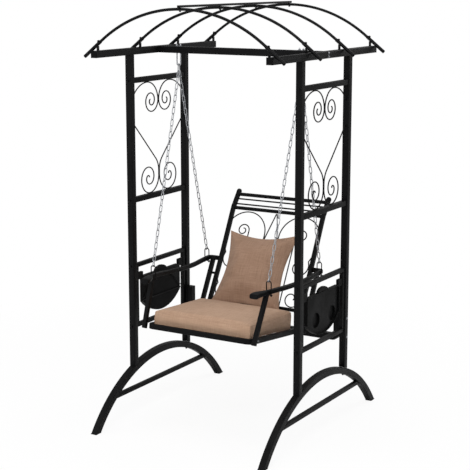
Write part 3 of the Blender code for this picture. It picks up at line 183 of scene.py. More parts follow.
# Along the pad, from its curled front to where it narrows into the tube: width, depth, curl
PAD_ROWS = (
    (0.000, 0.96, 1.14, -0.56), (0.020, 1.00, 1.20, -0.50), (0.080, 1.02, 1.26, -0.32),
    (0.200, 1.02, 1.28, -0.10), (0.400, 1.00, 1.24, 0.00), (0.600, 0.88, 1.18, 0.00),
    (0.820, 0.62, 1.14, 0.00), (1.000, 0.42, 1.16, 0.00),
)
PAD_SECTION = (
    (-1.0, -0.30), (-0.94, -0.08), (-0.70, 0.0), (0.0, 0.05), (0.70, 0.0), (0.94, -0.08),
    (1.0, -0.30), (0.98, -0.80), (0.80, -1.0), (0.0, -1.0), (-0.80, -1.0), (-0.98, -0.80),
)

# Seat and back
SEAT_TILT = math.radians(6.5)
SEAT_FRONT_Y = -0.370
SEAT_FRONT_TOP = 0.5190
SEAT_RAIL_SECTION = (RAIL, THIN, THIN_CORNER)
SEAT_RAIL_X = 0.2773
SEAT_LENGTH = 0.510
SEAT_CORNER = 0.040
SLAT_WIDTH = 0.025
SLAT_THICKNESS = 0.006
SLAT_CORNER = 0.0015
SLAT_DROP = 0.008
SLAT_COUNT = 5
SLAT_END = 0.060
FRONT_LEG_LEAN = 0.094
REAR_LEG_LEAN = 0.147
SPACER_DROP = 0.080
SPACER_RADIUS = 0.006
STILE_FOOT = (0.122, 0.450)
STILE_TURN = (0.159, 0.530)
STILE_X = SEAT_RAIL_X - THIN / 2 - GAP - THIN / 2
STILE_INNER_X = STILE_X - THIN / 2
STILE_OUTER_X = STILE_X + THIN / 2 + GAP
LEG_X = SEAT_RAIL_X + THIN / 2 + GAP + THIN / 2
BACK_TILT = math.radians(28.22)
BACK_LENGTH = 0.472
BACK_HEAD = 0.112
BACK_HEAD_TILT = math.radians(38)
BACK_BOW = 0.004
BALL_RADIUS = 0.0135
THICK_BAR = 0.0092
THIN_BAR = 0.004
HEAD_BARS = ((0.155, THICK_BAR), (0.39, THIN_BAR), (0.65, THIN_BAR), (0.85, THICK_BAR))
BACK_WIRE = 0.003
HEART_RADIUS = 0.1145
HEART_INSET_SHARE = 0.8
CURL_RADIUS = 0.034
CURL_TURN = -2.5 * PI
CURL_LOSS_SHARE = 0.143
SIDE_CURL_RADIUS = 0.055
SIDE_CURL_TURN = -2.4 * PI
SIDE_CURL_LOSS_SHARE = 0.167
SIDE_CURL_SHARES = (0.46, 0.115)
BRACE_X = 0.002
BRACE_RISE = 0.004
BRACE_DROP = 0.150

# Trays and their stays
MOULD_EDGE = 0.0008
STAY_WIRE = 0.00225
LUG_X = 0.4379
LUG_Y = 0.080
LUG_SIDE = 0.012
LUG_Z = 0.650
STAY_BAR_Z = 0.568
STAY_BAR_HALF = 0.185
STAY_BEND = 0.004
STAY_END_ANGLE = math.radians(63)
STAY_MIDDLE_SHARES = (0.55, 0.26)
STAY_ROUNDING = 0.006

# Cushions
CUSHION = (0.529, 0.405, 0.072)
CUSHION_ROOM = (0.006, 0.006, 0.003)
CUSHION_WEDGE = 0.022
CUSHION_CROWN = 0.008
CUSHION_DRAW = 0.005
CUSHION_INSET = 0.024
CUSHION_EASE = 0.0009
CUSHION_LIFT = CUSHION[2] / 2 - SLAT_DROP - CUSHION_EASE
EDGE_CORNER = 0.035
EDGE_PROBE = 0.02
WELT_ABOVE = 0.004
WELT_BELOW = 0.006
WELT_POINTS = 220
STITCH_POINTS = 260
STITCH_INSET = 0.012
STITCH_PROBE = 0.02
STITCH_SIZES = {"Pitch": 0.0045, "Thickness": 0.00045}
CUSHION_WELT = 0.0012
PILLOW_WELT = 0.0013
PILLOW = (0.385, 0.370, 0.130)
PILLOW_DRAW = 0.026
FOOT_DRAW_SHARE = 0.3
PILLOW_RISE = 0.032
PILLOW_CANT = 0.016
PILLOW_LEAN = 0.022
PILLOW_SHIFT = 0.009
PILLOW_START = 0.060
PILLOW_RECLINE = math.radians(9)
PILLOW_OFFSET = 0.1002
PILLOW_LIFT = -0.0366
PILLOW_CLEAR = 0.001
PILLOW_REST = BACK_WIRE + PILLOW_CLEAR
PILLOW_REST_EASE = 0.002
PILLOW_REST_REACH = 6
CUSHION_PROBE = 0.060
SOFT_GAP = 0.0008
RIM_REACH = 0.004
# Folds of the pillow: level, slope, reach inward, depth and spread
PILLOW_FOLDS = (
    (-0.16, 0.10, 0.46, 0.011, 0.018),
    (-0.30, -0.06, 0.34, 0.007, 0.013),
    (0.06, 0.05, 0.26, 0.005, 0.016),
)
FOLD_EASE = 1.6
FOOT_FOLD_SHARE = 0.41
FOOT_FOLD_DEPTH = 0.003
FOOT_FOLD_SPREAD = 0.02
PILLOW_FRONT_SHARE = 0.3

# Camera, and the lamps with their power, size and place
CAMERA_PLACE = (3.1207, -5.3220, 2.1471)
CAMERA_RIGHT = (0.8610, 0.5086, 0.0)
CAMERA_BACK = (0.4987, -0.8442, 0.1965)
LAMPS = {
    "key_light": (93.0, 2.6, (1.4, -3.6, 3.4)),
    "fill_light": (45.0, 3.0, (-3.4, -3.2, 2.4)),
    "rear_light": (60.0, 2.6, (1.6, 3.6, 3.2)),
    "top_light": (60.0, 2.4, (0.0, -0.4, 4.4)),
}
LAMP_AIM = Vector((0, 0, 1.0))
FLOOR_REACH = 14.0
WHITE = (1.0, 1.0, 1.0, 1.0)


# Node trees


class Nodes:
    """Makes the nodes of one tree."""

    def __init__(self, tree):
        self.tree = tree

    def feed(self, sockets, inputs):
        """Sets these inputs, or links them where the value is a socket."""
        for key, value in inputs.items():
            if isinstance(value, bpy.types.NodeSocket):
                self.tree.links.new(value, sockets[key])
            else:
                sockets[key].default_value = value

    def add(self, kind, inputs=None, **settings):
        """The outputs of a new node."""
        made = self.tree.nodes.new(kind)
        for key, value in settings.items():
            setattr(made, key, value)
        self.feed(made.inputs, inputs or {})
        return made.outputs

    def shape(self, kind, inputs, **settings):
        """What a new geometry node puts out."""
        return self.add(f"GeometryNode{kind}", inputs, **settings)[0]

    def group(self, group, inputs):
        return self.add("ShaderNodeGroup", inputs, node_tree=group)

    def math(self, operation, *values):
        return self.add("ShaderNodeMath", dict(enumerate(values)), operation=operation)[0]

    def times(self, first, second):
        return self.math("MULTIPLY", first, second)

    def mix(self, share, first, second):
        return self.add("ShaderNodeMix", {0: share, 6: first, 7: second}, data_type="RGBA")[2]

    def remap(self, value, low, high, to_low=0.0, to_high=1.0):
        inputs = {0: value, 1: low, 2: high, 3: to_low, 4: to_high}
        return self.add("ShaderNodeMapRange", inputs)[0]

    def noise(self, vector, scale, detail):
        inputs = {"Vector": vector, "Scale": scale, "Detail": detail}
        return self.add("ShaderNodeTexNoise", inputs)[0]

    def bump(self, height, strength, distance):
        inputs = {"Height": height, "Strength": strength, "Distance": distance}
        return self.add("ShaderNodeBump", inputs)[0]

    def upward(self, height):
        return self.add("ShaderNodeCombineXYZ", {"Z": height})[0]

    def rounded_box(self, width, height, corner, steps):
        """A rectangle with round corners, as a curve."""
        size = {"Width": width, "Height": height}
        box = self.shape("CurvePrimitiveQuadrilateral", size, mode="RECTANGLE")
        inputs = {"Curve": box, "Count": steps, "Radius": corner}
        return self.shape("FilletCurve", inputs, mode="POLY")

    def give(self, kind="Float", **results):
        """Ends a group with these outputs."""
        for title in results:
            self.tree.interface.new_socket(
                name=title, in_out="OUTPUT", socket_type=f"NodeSocket{kind}"
            )
        self.add("NodeGroupOutput", results)
        return self.tree

    def give_shape(self, shape, material):
        """Ends a geometry tree in real geometry with its material."""
        real = self.shape("RealizeInstances", {0: shape})
        made = self.shape("SetMaterial", {"Geometry": real, "Material": material})
        return self.give("Geometry", Geometry=made)


SOCKET_KINDS = {float: "Float", int: "Int", tuple: "Vector"}


def new_tree(name, tree_kind, inputs):
    """The nodes of a new group and its inputs; a text is the kind of an input without a value."""
    tree = bpy.data.node_groups.new(name, tree_kind)
    for title, value in inputs.items():
        kind = SOCKET_KINDS.get(type(value), value)
        socket = tree.interface.new_socket(
            name=title, in_out="INPUT", socket_type=f"NodeSocket{kind}"
        )
        if kind != value:
            socket.default_value = value
    nodes = Nodes(tree)
    return nodes, nodes.add("NodeGroupInput")


def shader_group(name, **inputs):
    return new_tree(name, "ShaderNodeTree", {"Vector": "Vector", **inputs})


def geometry_tree(name, inputs):
    inputs = {"Geometry": "Geometry", **inputs, "Material": "Material"}
    return new_tree(name, "GeometryNodeTree", inputs)


# Finishes


def tone(red, green, blue):
    """A linear colour from its display values, 0 to 255."""
    shares = [value / 255 for value in (red, green, blue)]
    return (*(v / 12.92 if v <= 0.04045 else ((v + 0.055) / 1.055) ** 2.4 for v in shares), 1.0)


def surface_grain():
    """Fine grain for a bump, and slow patches for colour and roughness."""
    nodes, start = shader_group("surface_grain", Grain=900.0, Patches=9.0)
    fine = nodes.noise(start["Vector"], start["Grain"], 2.0)
    slow = nodes.noise(start["Vector"], start["Patches"], 5.0)
    return nodes.give(Height=fine, Patch=nodes.remap(slow, 0.35, 0.65))


def edge_wear():
    """A broken mask along the edges, from the true normal's difference from the rounded one."""
    nodes, start = shader_group("edge_wear", Radius=0.0015, Amount=0.5)
    rounded = nodes.add("ShaderNodeBevel", {"Radius": start["Radius"]}, samples=4)[0]
    true = nodes.add("ShaderNodeNewGeometry")["Normal"]
    both = {0: rounded, 1: true}
    dot = nodes.add("ShaderNodeVectorMath", both, operation="DOT_PRODUCT")["Value"]
    edge = nodes.remap(dot, 0.995, 0.93)
    broken = nodes.remap(nodes.noise(start["Vector"], 60.0, 4.0), 0.5, 0.66)
    return nodes.give(Mask=nodes.times(nodes.times(edge, broken), start["Amount"]))


def settled_dust():
    """A mask on what faces upward, thinner where the noise is low."""
    nodes, start = shader_group("settled_dust", Amount=0.2)
    normal = nodes.add("ShaderNodeNewGeometry")["Normal"]
    up = nodes.remap(nodes.add("ShaderNodeSeparateXYZ", {0: normal})["Z"], 0.55, 1.0)
    patchy = nodes.remap(nodes.noise(start["Vector"], 22.0, 5.0), 0.3, 0.7)
    return nodes.give(Mask=nodes.times(nodes.times(up, patchy), start["Amount"]))


def woven_cloth():
    """A plain weave in the cloth's own plane, with thicker threads here and there."""
    nodes, start = shader_group("woven_cloth", Threads=1000.0)
    place = start["Vector"]
    parts = nodes.add("ShaderNodeSeparateXYZ", {0: place})
    turns = nodes.times(start["Threads"], PI)
    waves = [nodes.math("SINE", nodes.times(parts[axis], turns)) for axis in ("X", "Y")]
    over = nodes.math("GREATER_THAN", nodes.times(*waves), 0.0)
    shown = (over, nodes.math("SUBTRACT", 1.0, over))
    threads = [nodes.times(nodes.math("ABSOLUTE", w), s) for w, s in zip(waves, shown)]
    slubs = []
    for stretch in ((14.0, 420.0, 1.0), (420.0, 14.0, 1.0)):
        drawn = nodes.add("ShaderNodeMapping", {"Vector": place, "Scale": stretch})[0]
        slubs.append(nodes.noise(drawn, 1.0, 2.0))
    patch = nodes.remap(nodes.noise(place, 11.0, 3.0), 0.35, 0.65)
    return nodes.give(Height=nodes.math("ADD", *threads), Slub=nodes.times(*slubs), Patch=patch)


GRAIN = surface_grain()
WEAR = edge_wear()
DUST = settled_dust()
CLOTH = woven_cloth()


def new_material(name):
    """A material, its nodes and the inputs of its shader."""
    material = bpy.data.materials.new(name)
    material.use_nodes = True
    tree = material.node_tree
    return material, Nodes(tree), tree.nodes["Principled BSDF"].inputs


def hard_finish(name, colours, roughness, grain, patches, bump, wear, dust, fixed):
    """A finish with fine grain, slow patches, worn edges and a little dust on top."""
    material, nodes, shader = new_material(name)
    place = nodes.add("ShaderNodeTexCoord")["Object"]
    grains = nodes.group(GRAIN, {"Vector": place, "Grain": grain, "Patches": patches})
    worn = nodes.group(WEAR, {"Vector": place, "Amount": wear})["Mask"]
    dusty = nodes.group(DUST, {"Vector": place, "Amount": dust})["Mask"]
    colour, patch_colour, worn_colour = (tone(*levels) for levels in colours)
    base = nodes.mix(grains["Patch"], colour, patch_colour)
    base = nodes.mix(dusty, nodes.mix(worn, base, worn_colour), tone(120, 116, 110))
    nodes.feed(shader, {
        "Base Color": base,
        "Roughness": nodes.remap(grains["Patch"], 0.0, 1.0, *roughness),
        "Normal": nodes.bump(grains["Height"], bump, 0.0003),
        **fixed,
    })
    return material


def galvanised(name, *colours):
    return hard_finish(
        name, colours, (0.26, 0.42), grain=500.0, patches=160.0, bump=0.2, wear=0.4, dust=0.05,
        fixed={"Metallic": 0.95},
    )


def fabric(name, threads, *colours):
    """Woven cloth whose threads follow the piece's own map."""
    material, nodes, shader = new_material(name)
    colour, pale, deep = (tone(*levels) for levels in colours)
    place = nodes.add("ShaderNodeUVMap", uv_map="threads")[0]
    cloth = nodes.group(CLOTH, {"Vector": place, "Threads": threads})
    base = nodes.mix(cloth["Patch"], colour, pale)
    base = nodes.mix(nodes.remap(cloth["Slub"], 0.16, 0.34, 0.0, 0.55), base, deep)
    nodes.feed(shader, {
        # Darker where the weave lies low, between the threads: painted shade in the weave's
        # hollows.
        "Base Color": nodes.mix(nodes.remap(cloth["Height"], 0.0, 0.7, 0.22, 0.0), base, deep),
        "Roughness": nodes.remap(cloth["Slub"], 0.15, 0.35, 0.82, 0.95),
        "Normal": nodes.bump(cloth["Height"], 0.5, 0.0004),
        "Sheen Weight": 0.06,
        "Sheen Roughness": 0.5,
        "Specular IOR Level": 0.25,
    })
    return material


STEEL = hard_finish(
    "black_powder_coat", ((7, 7, 8), (12, 12, 13), (48, 48, 50)), (0.40, 0.52),
    grain=700.0, patches=7.0, bump=0.35, wear=0.3, dust=0.03, fixed={"Specular IOR Level": 0.09},
)
PLASTIC = hard_finish(
    "black_moulded_plastic", ((7, 7, 8), (12, 12, 12), (36, 36, 37)), (0.44, 0.58),
    grain=1400.0, patches=11.0, bump=0.25, wear=0.2, dust=0.02, fixed={"Specular IOR Level": 0.06},
)
ZINC = galvanised("zinc_plate", (132, 134, 138), (156, 158, 162), (176, 177, 179))
CHAIN_ZINC = galvanised("galvanised_chain", (148, 150, 154), (176, 178, 182), (190, 191, 193))
TAN = fabric("tan_woven_cloth", 620.0, (176, 145, 121), (184, 153, 129), (148, 117, 95))
PILLOW_TAN = fabric("pillow_woven_cloth", 620.0, (152, 122, 101), (160, 130, 109), (124, 95, 77))
THREAD = fabric("seam_thread", 900.0, (168, 137, 112), (174, 143, 118), (140, 110, 88))


# Geometry trees


def tube_tree():
    """A rounded section swept along a line, with one side of the section held along Side."""
    nodes, start = geometry_tree("tube_along_line", {
        "Width": TUBE, "Height": TUBE, "Corner": TUBE_SECTION[2], "Corner Steps": 4, "Side": X_AXIS,
    })
    line = nodes.shape("MeshToCurve", {0: start["Geometry"]})
    line = nodes.shape("SetCurveNormal", {"Curve": line, "Normal": start["Side"]}, mode="FREE")
    section = nodes.rounded_box(
        start["Width"], start["Height"], start["Corner"], start["Corner Steps"]
    )
    swept = {"Curve": line, "Profile Curve": section, "Fill Caps": True}
    return nodes.give_shape(nodes.shape("CurveToMesh", swept), start["Material"])


def chain_tree():
    """Oval links set along a line, every second one turned a quarter round it."""
    nodes, start = geometry_tree("links_along_line", {
        "Links": 25, "Link Width": CHAIN_INNER_WIDTH + 2 * CHAIN_WIRE, "Link Length": CHAIN_PITCH,
        "Wire": CHAIN_WIRE,
    })
    line = nodes.shape("MeshToCurve", {0: start["Geometry"]})
    line = nodes.shape("SetCurveNormal", {"Curve": line, "Normal": X_AXIS}, mode="FREE")
    along = {"Curve": line, "Count": start["Links"]}
    places = nodes.add("GeometryNodeCurveToPoints", along, mode="COUNT")
    width = start["Link Width"]
    ring = nodes.rounded_box(width, start["Link Length"], nodes.times(width, 0.499), 5)
    round_wire = {"Resolution": 10, "Radius": start["Wire"]}
    section = nodes.shape("CurvePrimitiveCircle", round_wire, mode="RADIUS")
    link = nodes.shape("CurveToMesh", {"Curve": ring, "Profile Curve": section})
    standing = nodes.shape("Transform", {"Geometry": link, "Rotation": (PI / 2, 0.0, 0.0)})
    odd = nodes.math("MODULO", nodes.shape("InputIndex", {}), 2.0)
    turn = {"Rotation": places["Rotation"], "Rotate By": nodes.upward(nodes.times(odd, PI / 2))}
    turned = nodes.add("FunctionNodeRotateRotation", turn, rotation_space="LOCAL")[0]
    links = {"Points": places[0], "Instance": standing, "Rotation": turned}
    return nodes.give_shape(nodes.shape("InstanceOnPoints", links), start["Material"])


def bolt_tree():
    """Hexagon heads on washers, one on each point, standing along the point's own direction."""
    nodes, start = geometry_tree(
        "bolts_on_points", {"Radius": 0.0055, "Height": 0.0045, "Washer": 0.0075}
    )
    radius, height = start["Radius"], start["Height"]
    thin = nodes.times(height, 0.28)
    washer = {"Vertices": 24, "Radius": start["Washer"], "Depth": thin}
    head = {"Vertices": 6, "Radius": radius, "Depth": height}
    crown = {"Segments": 18, "Rings": 8, "Radius": radius}
    joined = nodes.tree.nodes.new("GeometryNodeJoinGeometry")
    for kind, inputs, middle, scale in (
        ("MeshCylinder", washer, nodes.times(thin, 0.5), (1.0, 1.0, 1.0)),
        ("MeshCylinder", head, nodes.times(height, 0.5), (1.0, 1.0, 1.0)),
        ("MeshUVSphere", crown, nodes.times(height, 0.86), (0.82, 0.82, 0.34)),
    ):
        solid = {"Geometry": nodes.shape(kind, inputs), "Translation": nodes.upward(middle)}
        nodes.feed(joined.inputs, {0: nodes.shape("Transform", {**solid, "Scale": scale})})
    outward = nodes.shape("InputNamedAttribute", {"Name": "outward"}, data_type="FLOAT_VECTOR")
    turn = nodes.add("FunctionNodeAlignRotationToVector", {"Vector": outward}, axis="Z")[0]
    heads = {"Points": start["Geometry"], "Instance": joined.outputs[0], "Rotation": turn}
    return nodes.give_shape(nodes.shape("InstanceOnPoints", heads), start["Material"])


def stitch_tree():
    """Short rounded stitches laid end to end along a line."""
    nodes, start = geometry_tree("stitches_along_line", {"Pitch": 0.0045, "Thickness": 0.0005})
    pitch, thickness = start["Pitch"], start["Thickness"]
    line = nodes.shape("MeshToCurve", {0: start["Geometry"]})
    places = nodes.add("GeometryNodeCurveToPoints", {"Curve": line, "Length": pitch}, mode="LENGTH")
    stitch = nodes.shape("MeshUVSphere", {"Segments": 6, "Rings": 4, "Radius": thickness})
    length = nodes.times(nodes.math("DIVIDE", pitch, thickness), 0.36)
    scale = nodes.add("ShaderNodeCombineXYZ", {"X": 1.0, "Y": 1.0, "Z": length})[0]
    laid = {
        "Points": places[0], "Instance": stitch, "Rotation": places["Rotation"], "Scale": scale,
    }
    return nodes.give_shape(nodes.shape("InstanceOnPoints", laid), start["Material"])


TUBES = tube_tree()
CHAINS = chain_tree()
BOLTS = bolt_tree()
STITCHES = stitch_tree()


# Meshes and objects


def new_object(name, mesh, look=None):
    if look:
        mesh.materials.clear()
        mesh.materials.append(look)
        for polygon in mesh.polygons:
            polygon.material_index = 0
    obj = bpy.data.objects.new(name, mesh)
    bpy.context.scene.collection.objects.link(obj)
    return obj


def mesh_from(name, points, edges=(), faces=()):
    mesh = bpy.data.meshes.new(name)
    mesh.from_pydata([tuple(point) for point in points], edges, faces)
    return mesh


def mesh_of(name, shell):
    mesh = bpy.data.meshes.new(name)
    shell.to_mesh(mesh)
    shell.free()
    return mesh


def evaluated_mesh(obj):
    bpy.context.view_layer.update()
    graph = bpy.context.evaluated_depsgraph_get()
    return bpy.data.meshes.new_from_object(obj.evaluated_get(graph))


def modified(obj, **modifiers):
    """The object with the work of these modifiers kept in its mesh."""
    for kind, settings in modifiers.items():
        modifier = obj.modifiers.new(kind, kind)
        for key, value in settings.items():
            setattr(modifier, key, value)
    obj.data = evaluated_mesh(obj)
    obj.modifiers.clear()
    return obj


@contextmanager
def edited(mesh):
    """The mesh opened for editing, and written back afterwards."""
    shell = bmesh.new()
    shell.from_mesh(mesh)
    yield shell
    shell.to_mesh(mesh)
    shell.free()


def tidy_mesh(mesh):
    with edited(mesh) as shell:
        bmesh.ops.remove_doubles(shell, verts=shell.verts, dist=MERGE)
        bmesh.ops.recalc_face_normals(shell, faces=shell.faces)
        for face in shell.faces:
            face.smooth = True
    return mesh


def grow(name, obj, tree, look, values):
    """Runs a geometry tree on an object and keeps the result as a plain, closed mesh."""
    modifier = obj.modifiers.new("grow", "NODES")
    modifier.node_group = tree
    values = {**values, "Material": look}
    for item in tree.interface.items_tree:
        if item.in_out == "INPUT" and item.name in values:
            modifier[item.identifier] = values[item.name]
    mesh = evaluated_mesh(obj)
    bpy.data.objects.remove(obj, do_unlink=True)
    mesh.name = name
    return new_object(name, tidy_mesh(mesh), look)


def line_object(name, points, cyclic=False):
    count = len(points)
    edges = [(i, (i + 1) % count) for i in range(count if cyclic else count - 1)]
    return new_object(f"{name}_line", mesh_from(name, points, edges))


def tube(name, points, section, side=X_AXIS, look=STEEL, cyclic=False, steps=4):
    """A bar or tube along the points; the width of its section lies along the side."""
    values = dict(zip(("Width", "Height", "Corner"), section))
    values.update({"Corner Steps": steps, "Side": tuple(side)})
    obj = grow(name, line_object(name, points, cyclic), TUBES, look, values)
    return modified(obj, WEIGHTED_NORMAL={"weight": 60})


def wire(name, points, radius, side=X_AXIS, **settings):
    return tube(name, points, (2 * radius, 2 * radius, ROUND * radius), side, **settings)


def join(name, pieces):
    """One object from several, under a name of its own."""
    together = bmesh.new()
    materials = list(dict.fromkeys(piece.data.materials[0] for piece in pieces))
    normals = []
    for piece in pieces:
        normals += [tuple(corner.vector) for corner in piece.data.corner_normals]
        before = len(together.faces)
        together.from_mesh(piece.data)
        together.faces.ensure_lookup_table()
        for face in together.faces[before:]:
            face.material_index = materials.index(piece.data.materials[0])
    mesh = mesh_of(name, together)
    for material in materials:
        mesh.materials.append(material)
    for polygon in mesh.polygons:
        polygon.use_smooth = True
    mesh.normals_split_custom_set(normals)
    for piece in pieces:
        bpy.data.objects.remove(piece, do_unlink=True)
    return new_object(name, mesh)


def trim(obj, point, outward):
    """Cuts a piece at a plane and closes it; what lies beyond, in the outward direction, goes."""
    with edited(obj.data) as shell:
        geometry = shell.verts[:] + shell.edges[:] + shell.faces[:]
        cut = {"geom": geometry, "plane_co": point, "plane_no": outward, "clear_outer": True}
        bmesh.ops.bisect_plane(shell, **cut)
        rims = [edge for edge in shell.edges if edge.is_boundary]
        for face in bmesh.ops.holes_fill(shell, edges=rims)["faces"]:
            face.smooth = False


def loft(name, rings, closed=False):
    """A skin over rings of points, with flat ends, or closed from the last ring to the first."""
    shell = bmesh.new()
    rings = [[shell.verts.new(point) for point in ring] for ring in rings]
    for near, far in zip(rings, rings[1:] + rings[:1] if closed else rings[1:]):
        for k in range(len(near)):
            m = (k + 1) % len(near)
            shell.faces.new((near[k], near[m], far[m], far[k]))
    if not closed:
        shell.faces.new(rings[0])
        shell.faces.new(rings[-1][::-1])
    return steel_object(name, shell)


def steel_object(name, shell):
    return new_object(name, tidy_mesh(mesh_of(name, shell)), STEEL)


def bolts(name, places, size, look=ZINC):
    """Bolt heads or nuts at places given as a point and an outward direction."""
    mesh = mesh_from(name, [point for point, _ in places])
    field = mesh.attributes.new("outward", "FLOAT_VECTOR", "POINT")
    for item, (_, outward) in zip(field.data, places):
        item.vector = outward
    values = dict(zip(("Radius", "Height", "Washer"), size))
    obj = grow(name, new_object(f"{name}_points", mesh), BOLTS, look, values)
    edges = {"width": BOLT_EDGE, "segments": 2, "limit_method": "ANGLE", "harden_normals": True}
    return modified(obj, BEVEL=edges)


def fit(obj, body, slot, stands_for=True):
    """Rides the piece on its body, and hides the node that it stands for, if it stands for one."""
    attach(obj, body)
    if stands_for:
        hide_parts(slot)


# Lines


def arc(centre, radius, start, end, steps):
    angles = [start + (end - start) * i / steps for i in range(steps + 1)]
    return [(centre[0] + radius * math.cos(a), centre[1] + radius * math.sin(a)) for a in angles]


def spiral(centre, radius, start, turn, loss):
    """Points on a spiral that loses some radius in each quarter turn, after its first point."""
    steps = round(abs(turn) / SCROLL_STEP)
    points = []
    for i in range(1, steps + 1):
        angle = start + turn * i / steps
        here = radius - loss * abs(turn) * i / steps / (PI / 2)
        points.append((centre[0] + here * math.cos(angle), centre[1] + here * math.sin(angle)))
    return points


def mirrored(half):
    """A whole line from its right half."""
    return [(-u, v) for u, v in half[::-1]] + half


def smooth_line(points, steps):
    """A rounder line through the points, with this many steps between each two."""
    points = [Vector(point) for point in points]
    line = []
    for i, (near, far) in enumerate(zip(points, points[1:])):
        before = points[max(i - 1, 0)]
        after = points[min(i + 2, len(points) - 1)]
        for k in range(steps):
            t = k / steps
            line.append(
                near
                + (far - before) * (t / 2)
                + (before * 2 - near * 5 + far * 4 - after) * (t * t / 2)
                + (near * 3 - before - far * 3 + after) * (t**3 / 2)
            )
    line.append(points[-1])
    return line


def rounded(line, radius):
    """The line with each of its corners turned into a short bend."""
    points = [line[0]]
    for before, corner, after in zip(line, line[1:], line[2:]):
        corner = Vector(corner)
        back = (Vector(before) - corner).normalized() * radius
        ahead = (Vector(after) - corner).normalized() * radius
        for k in range(5):
            t = k / 4
            points.append(tuple(corner + back * (1 - t) ** 2 + ahead * t**2))
    return points


# Standing frame


def upright(x, line):
    """Points of a line of (y, z) places at this x."""
    return [(x, y, z) for y, z in line]


def side_tubes(name, side):
    """The square tubes of one side frame."""
    x = side * FRAME_X

    def bar(label, line, section=THIN_SECTION):
        return tube(f"{name}_{label}_tube", upright(x, line), section)

    middle_radius = ARCH_RADIUS - TUBE / 2
    low = math.asin((FOOT_CAP - TUBE - ARCH_CENTRE_Z) / middle_radius)
    line = arc((0, ARCH_CENTRE_Z), middle_radius, low, PI - low, 64)
    arch = bar("arch", line, TUBE_SECTION)
    trim(arch, (0, 0, FOOT_CAP + GAP), (0, 0, -1))
    fit(arch, "frame", f"{name}_foot_arch")

    rise = BRACE_Z - ARCH_CENTRE_Z
    reach = math.sqrt((ARCH_RADIUS - TUBE) ** 2 - rise**2)
    brace = bar("brace", [(-reach - THIN, BRACE_Z), (reach + THIN, BRACE_Z)])
    for end in (-1, 1):
        trim(brace, (x, end * reach, BRACE_Z), (0, end * reach, rise))
    fit(brace, "frame", f"{name}_foot_brace")

    foot_rise = math.sqrt(ARCH_RADIUS**2 - POST_Y**2)
    foot_z = ARCH_CENTRE_Z + foot_rise
    for end_name, end in ENDS.items():
        y = end * POST_Y
        line = [(y, foot_z - TUBE), (y, BEAM_BOTTOM - GAP)]
        post = bar(f"{end_name}_post", line, TUBE_SECTION)
        trim(post, (x, y, foot_z + GAP), (0, -y, -foot_rise))
        fit(post, "frame", f"{name}_{end_name}_post")

    for level, top in RAIL_TOPS.items():
        z = top - RAIL / 2
        rail = bar(f"{level}_rail", [(GAP - BAY, z), (BAY - GAP, z)], RAIL_SECTION)
        fit(rail, "frame", f"{name}_{level}_rail")

    reach = BAY - GAP
    edge = reach - THIN / 2
    high, low = TRAY_FRAME_TOP - THIN / 2, TRAY_FRAME_BOTTOM + THIN / 2
    lines = [[(-reach, z), (reach, z)] for z in (high, low)]
    for y in (-edge, edge):
        lines.append([(y, TRAY_FRAME_BOTTOM + THIN), (y, TRAY_FRAME_TOP - THIN)])
    bars = [bar(f"tray_{number}", line) for number, line in enumerate(lines)]
    fit(join(f"{name}_tray_frame_tubes", bars), "frame", f"{name}_tray_frame")


def upper_scroll_half():
    peak_y = -PEAK_SHARE * BAY
    peak_z = RAIL_TOPS["top"] - RAIL - GAP - SCROLL_WIRE
    outer = OUTER_SHARE * BAY
    start = math.acos((GAP - BAY - peak_y) / outer)
    inner = -SCROLL_WIRE - peak_y
    size = UPPER_SIZE_SHARE * BAY
    points = arc((peak_y, peak_z - outer), outer, start, PI / 2, 12)
    points += arc((peak_y, peak_z - inner), inner, PI / 2, 0, 12)[1:]
    centre = (-SCROLL_WIRE - size, peak_z - inner)
    return points + spiral(centre, size, 0, UPPER_TURN, UPPER_LOSS_SHARE * BAY)


def lower_scroll_half():
    elbow = ELBOW_SHARE * BAY
    size = LOWER_SIZE_SHARE * BAY
    loss = LOWER_LOSS_SHARE * BAY
    centre_z = RAIL_TOPS["middle"] + GAP + SCROLL_WIRE + size - loss
    elbow_z = centre_z + LOWER_DROP_SHARE * BAY
    slant = arc((-SCROLL_WIRE - elbow, elbow_z), elbow, PI / 4, 0, 8)
    first_y, first_z = slant[0]
    points = [(GAP - BAY, first_z + BAY + first_y), *slant, (-SCROLL_WIRE, centre_z)]
    return points + spiral((-SCROLL_WIRE - size, centre_z), size, 0, LOWER_TURN, loss)


def side_scrolls(name, side):
    for level, half in (("upper", upper_scroll_half()), ("lower", lower_scroll_half())):
        wires = []
        for end in (1, -1):
            points = [(side * FRAME_X, end * y, z) for y, z in half]
            wires.append(wire(f"{name}_{level}_wire_{end}", points, SCROLL_WIRE, steps=3))
        scrolls = join(f"{name}_{level}_scroll_wires", wires)
        fit(scrolls, "frame", f"{name}_{level}_scrolls")


def roof_line(x):
    return ROOF_CENTRE_Z + (ROOF_RADIUS - x * math.sin(ROOF_ANGLE)) / math.cos(ROOF_ANGLE)


def sleeve_points(side, y, length):
    """Two points on the middle line of a sleeve: its upper end, and one this far down."""
    upper_x = BEAM_INNER_X - SLEEVE_INSET + TUBE / 2
    places = [upper_x + distance * math.cos(ROOF_ANGLE) for distance in (0, length)]
    return [Vector((side * x, y, roof_line(x))) for x in places]


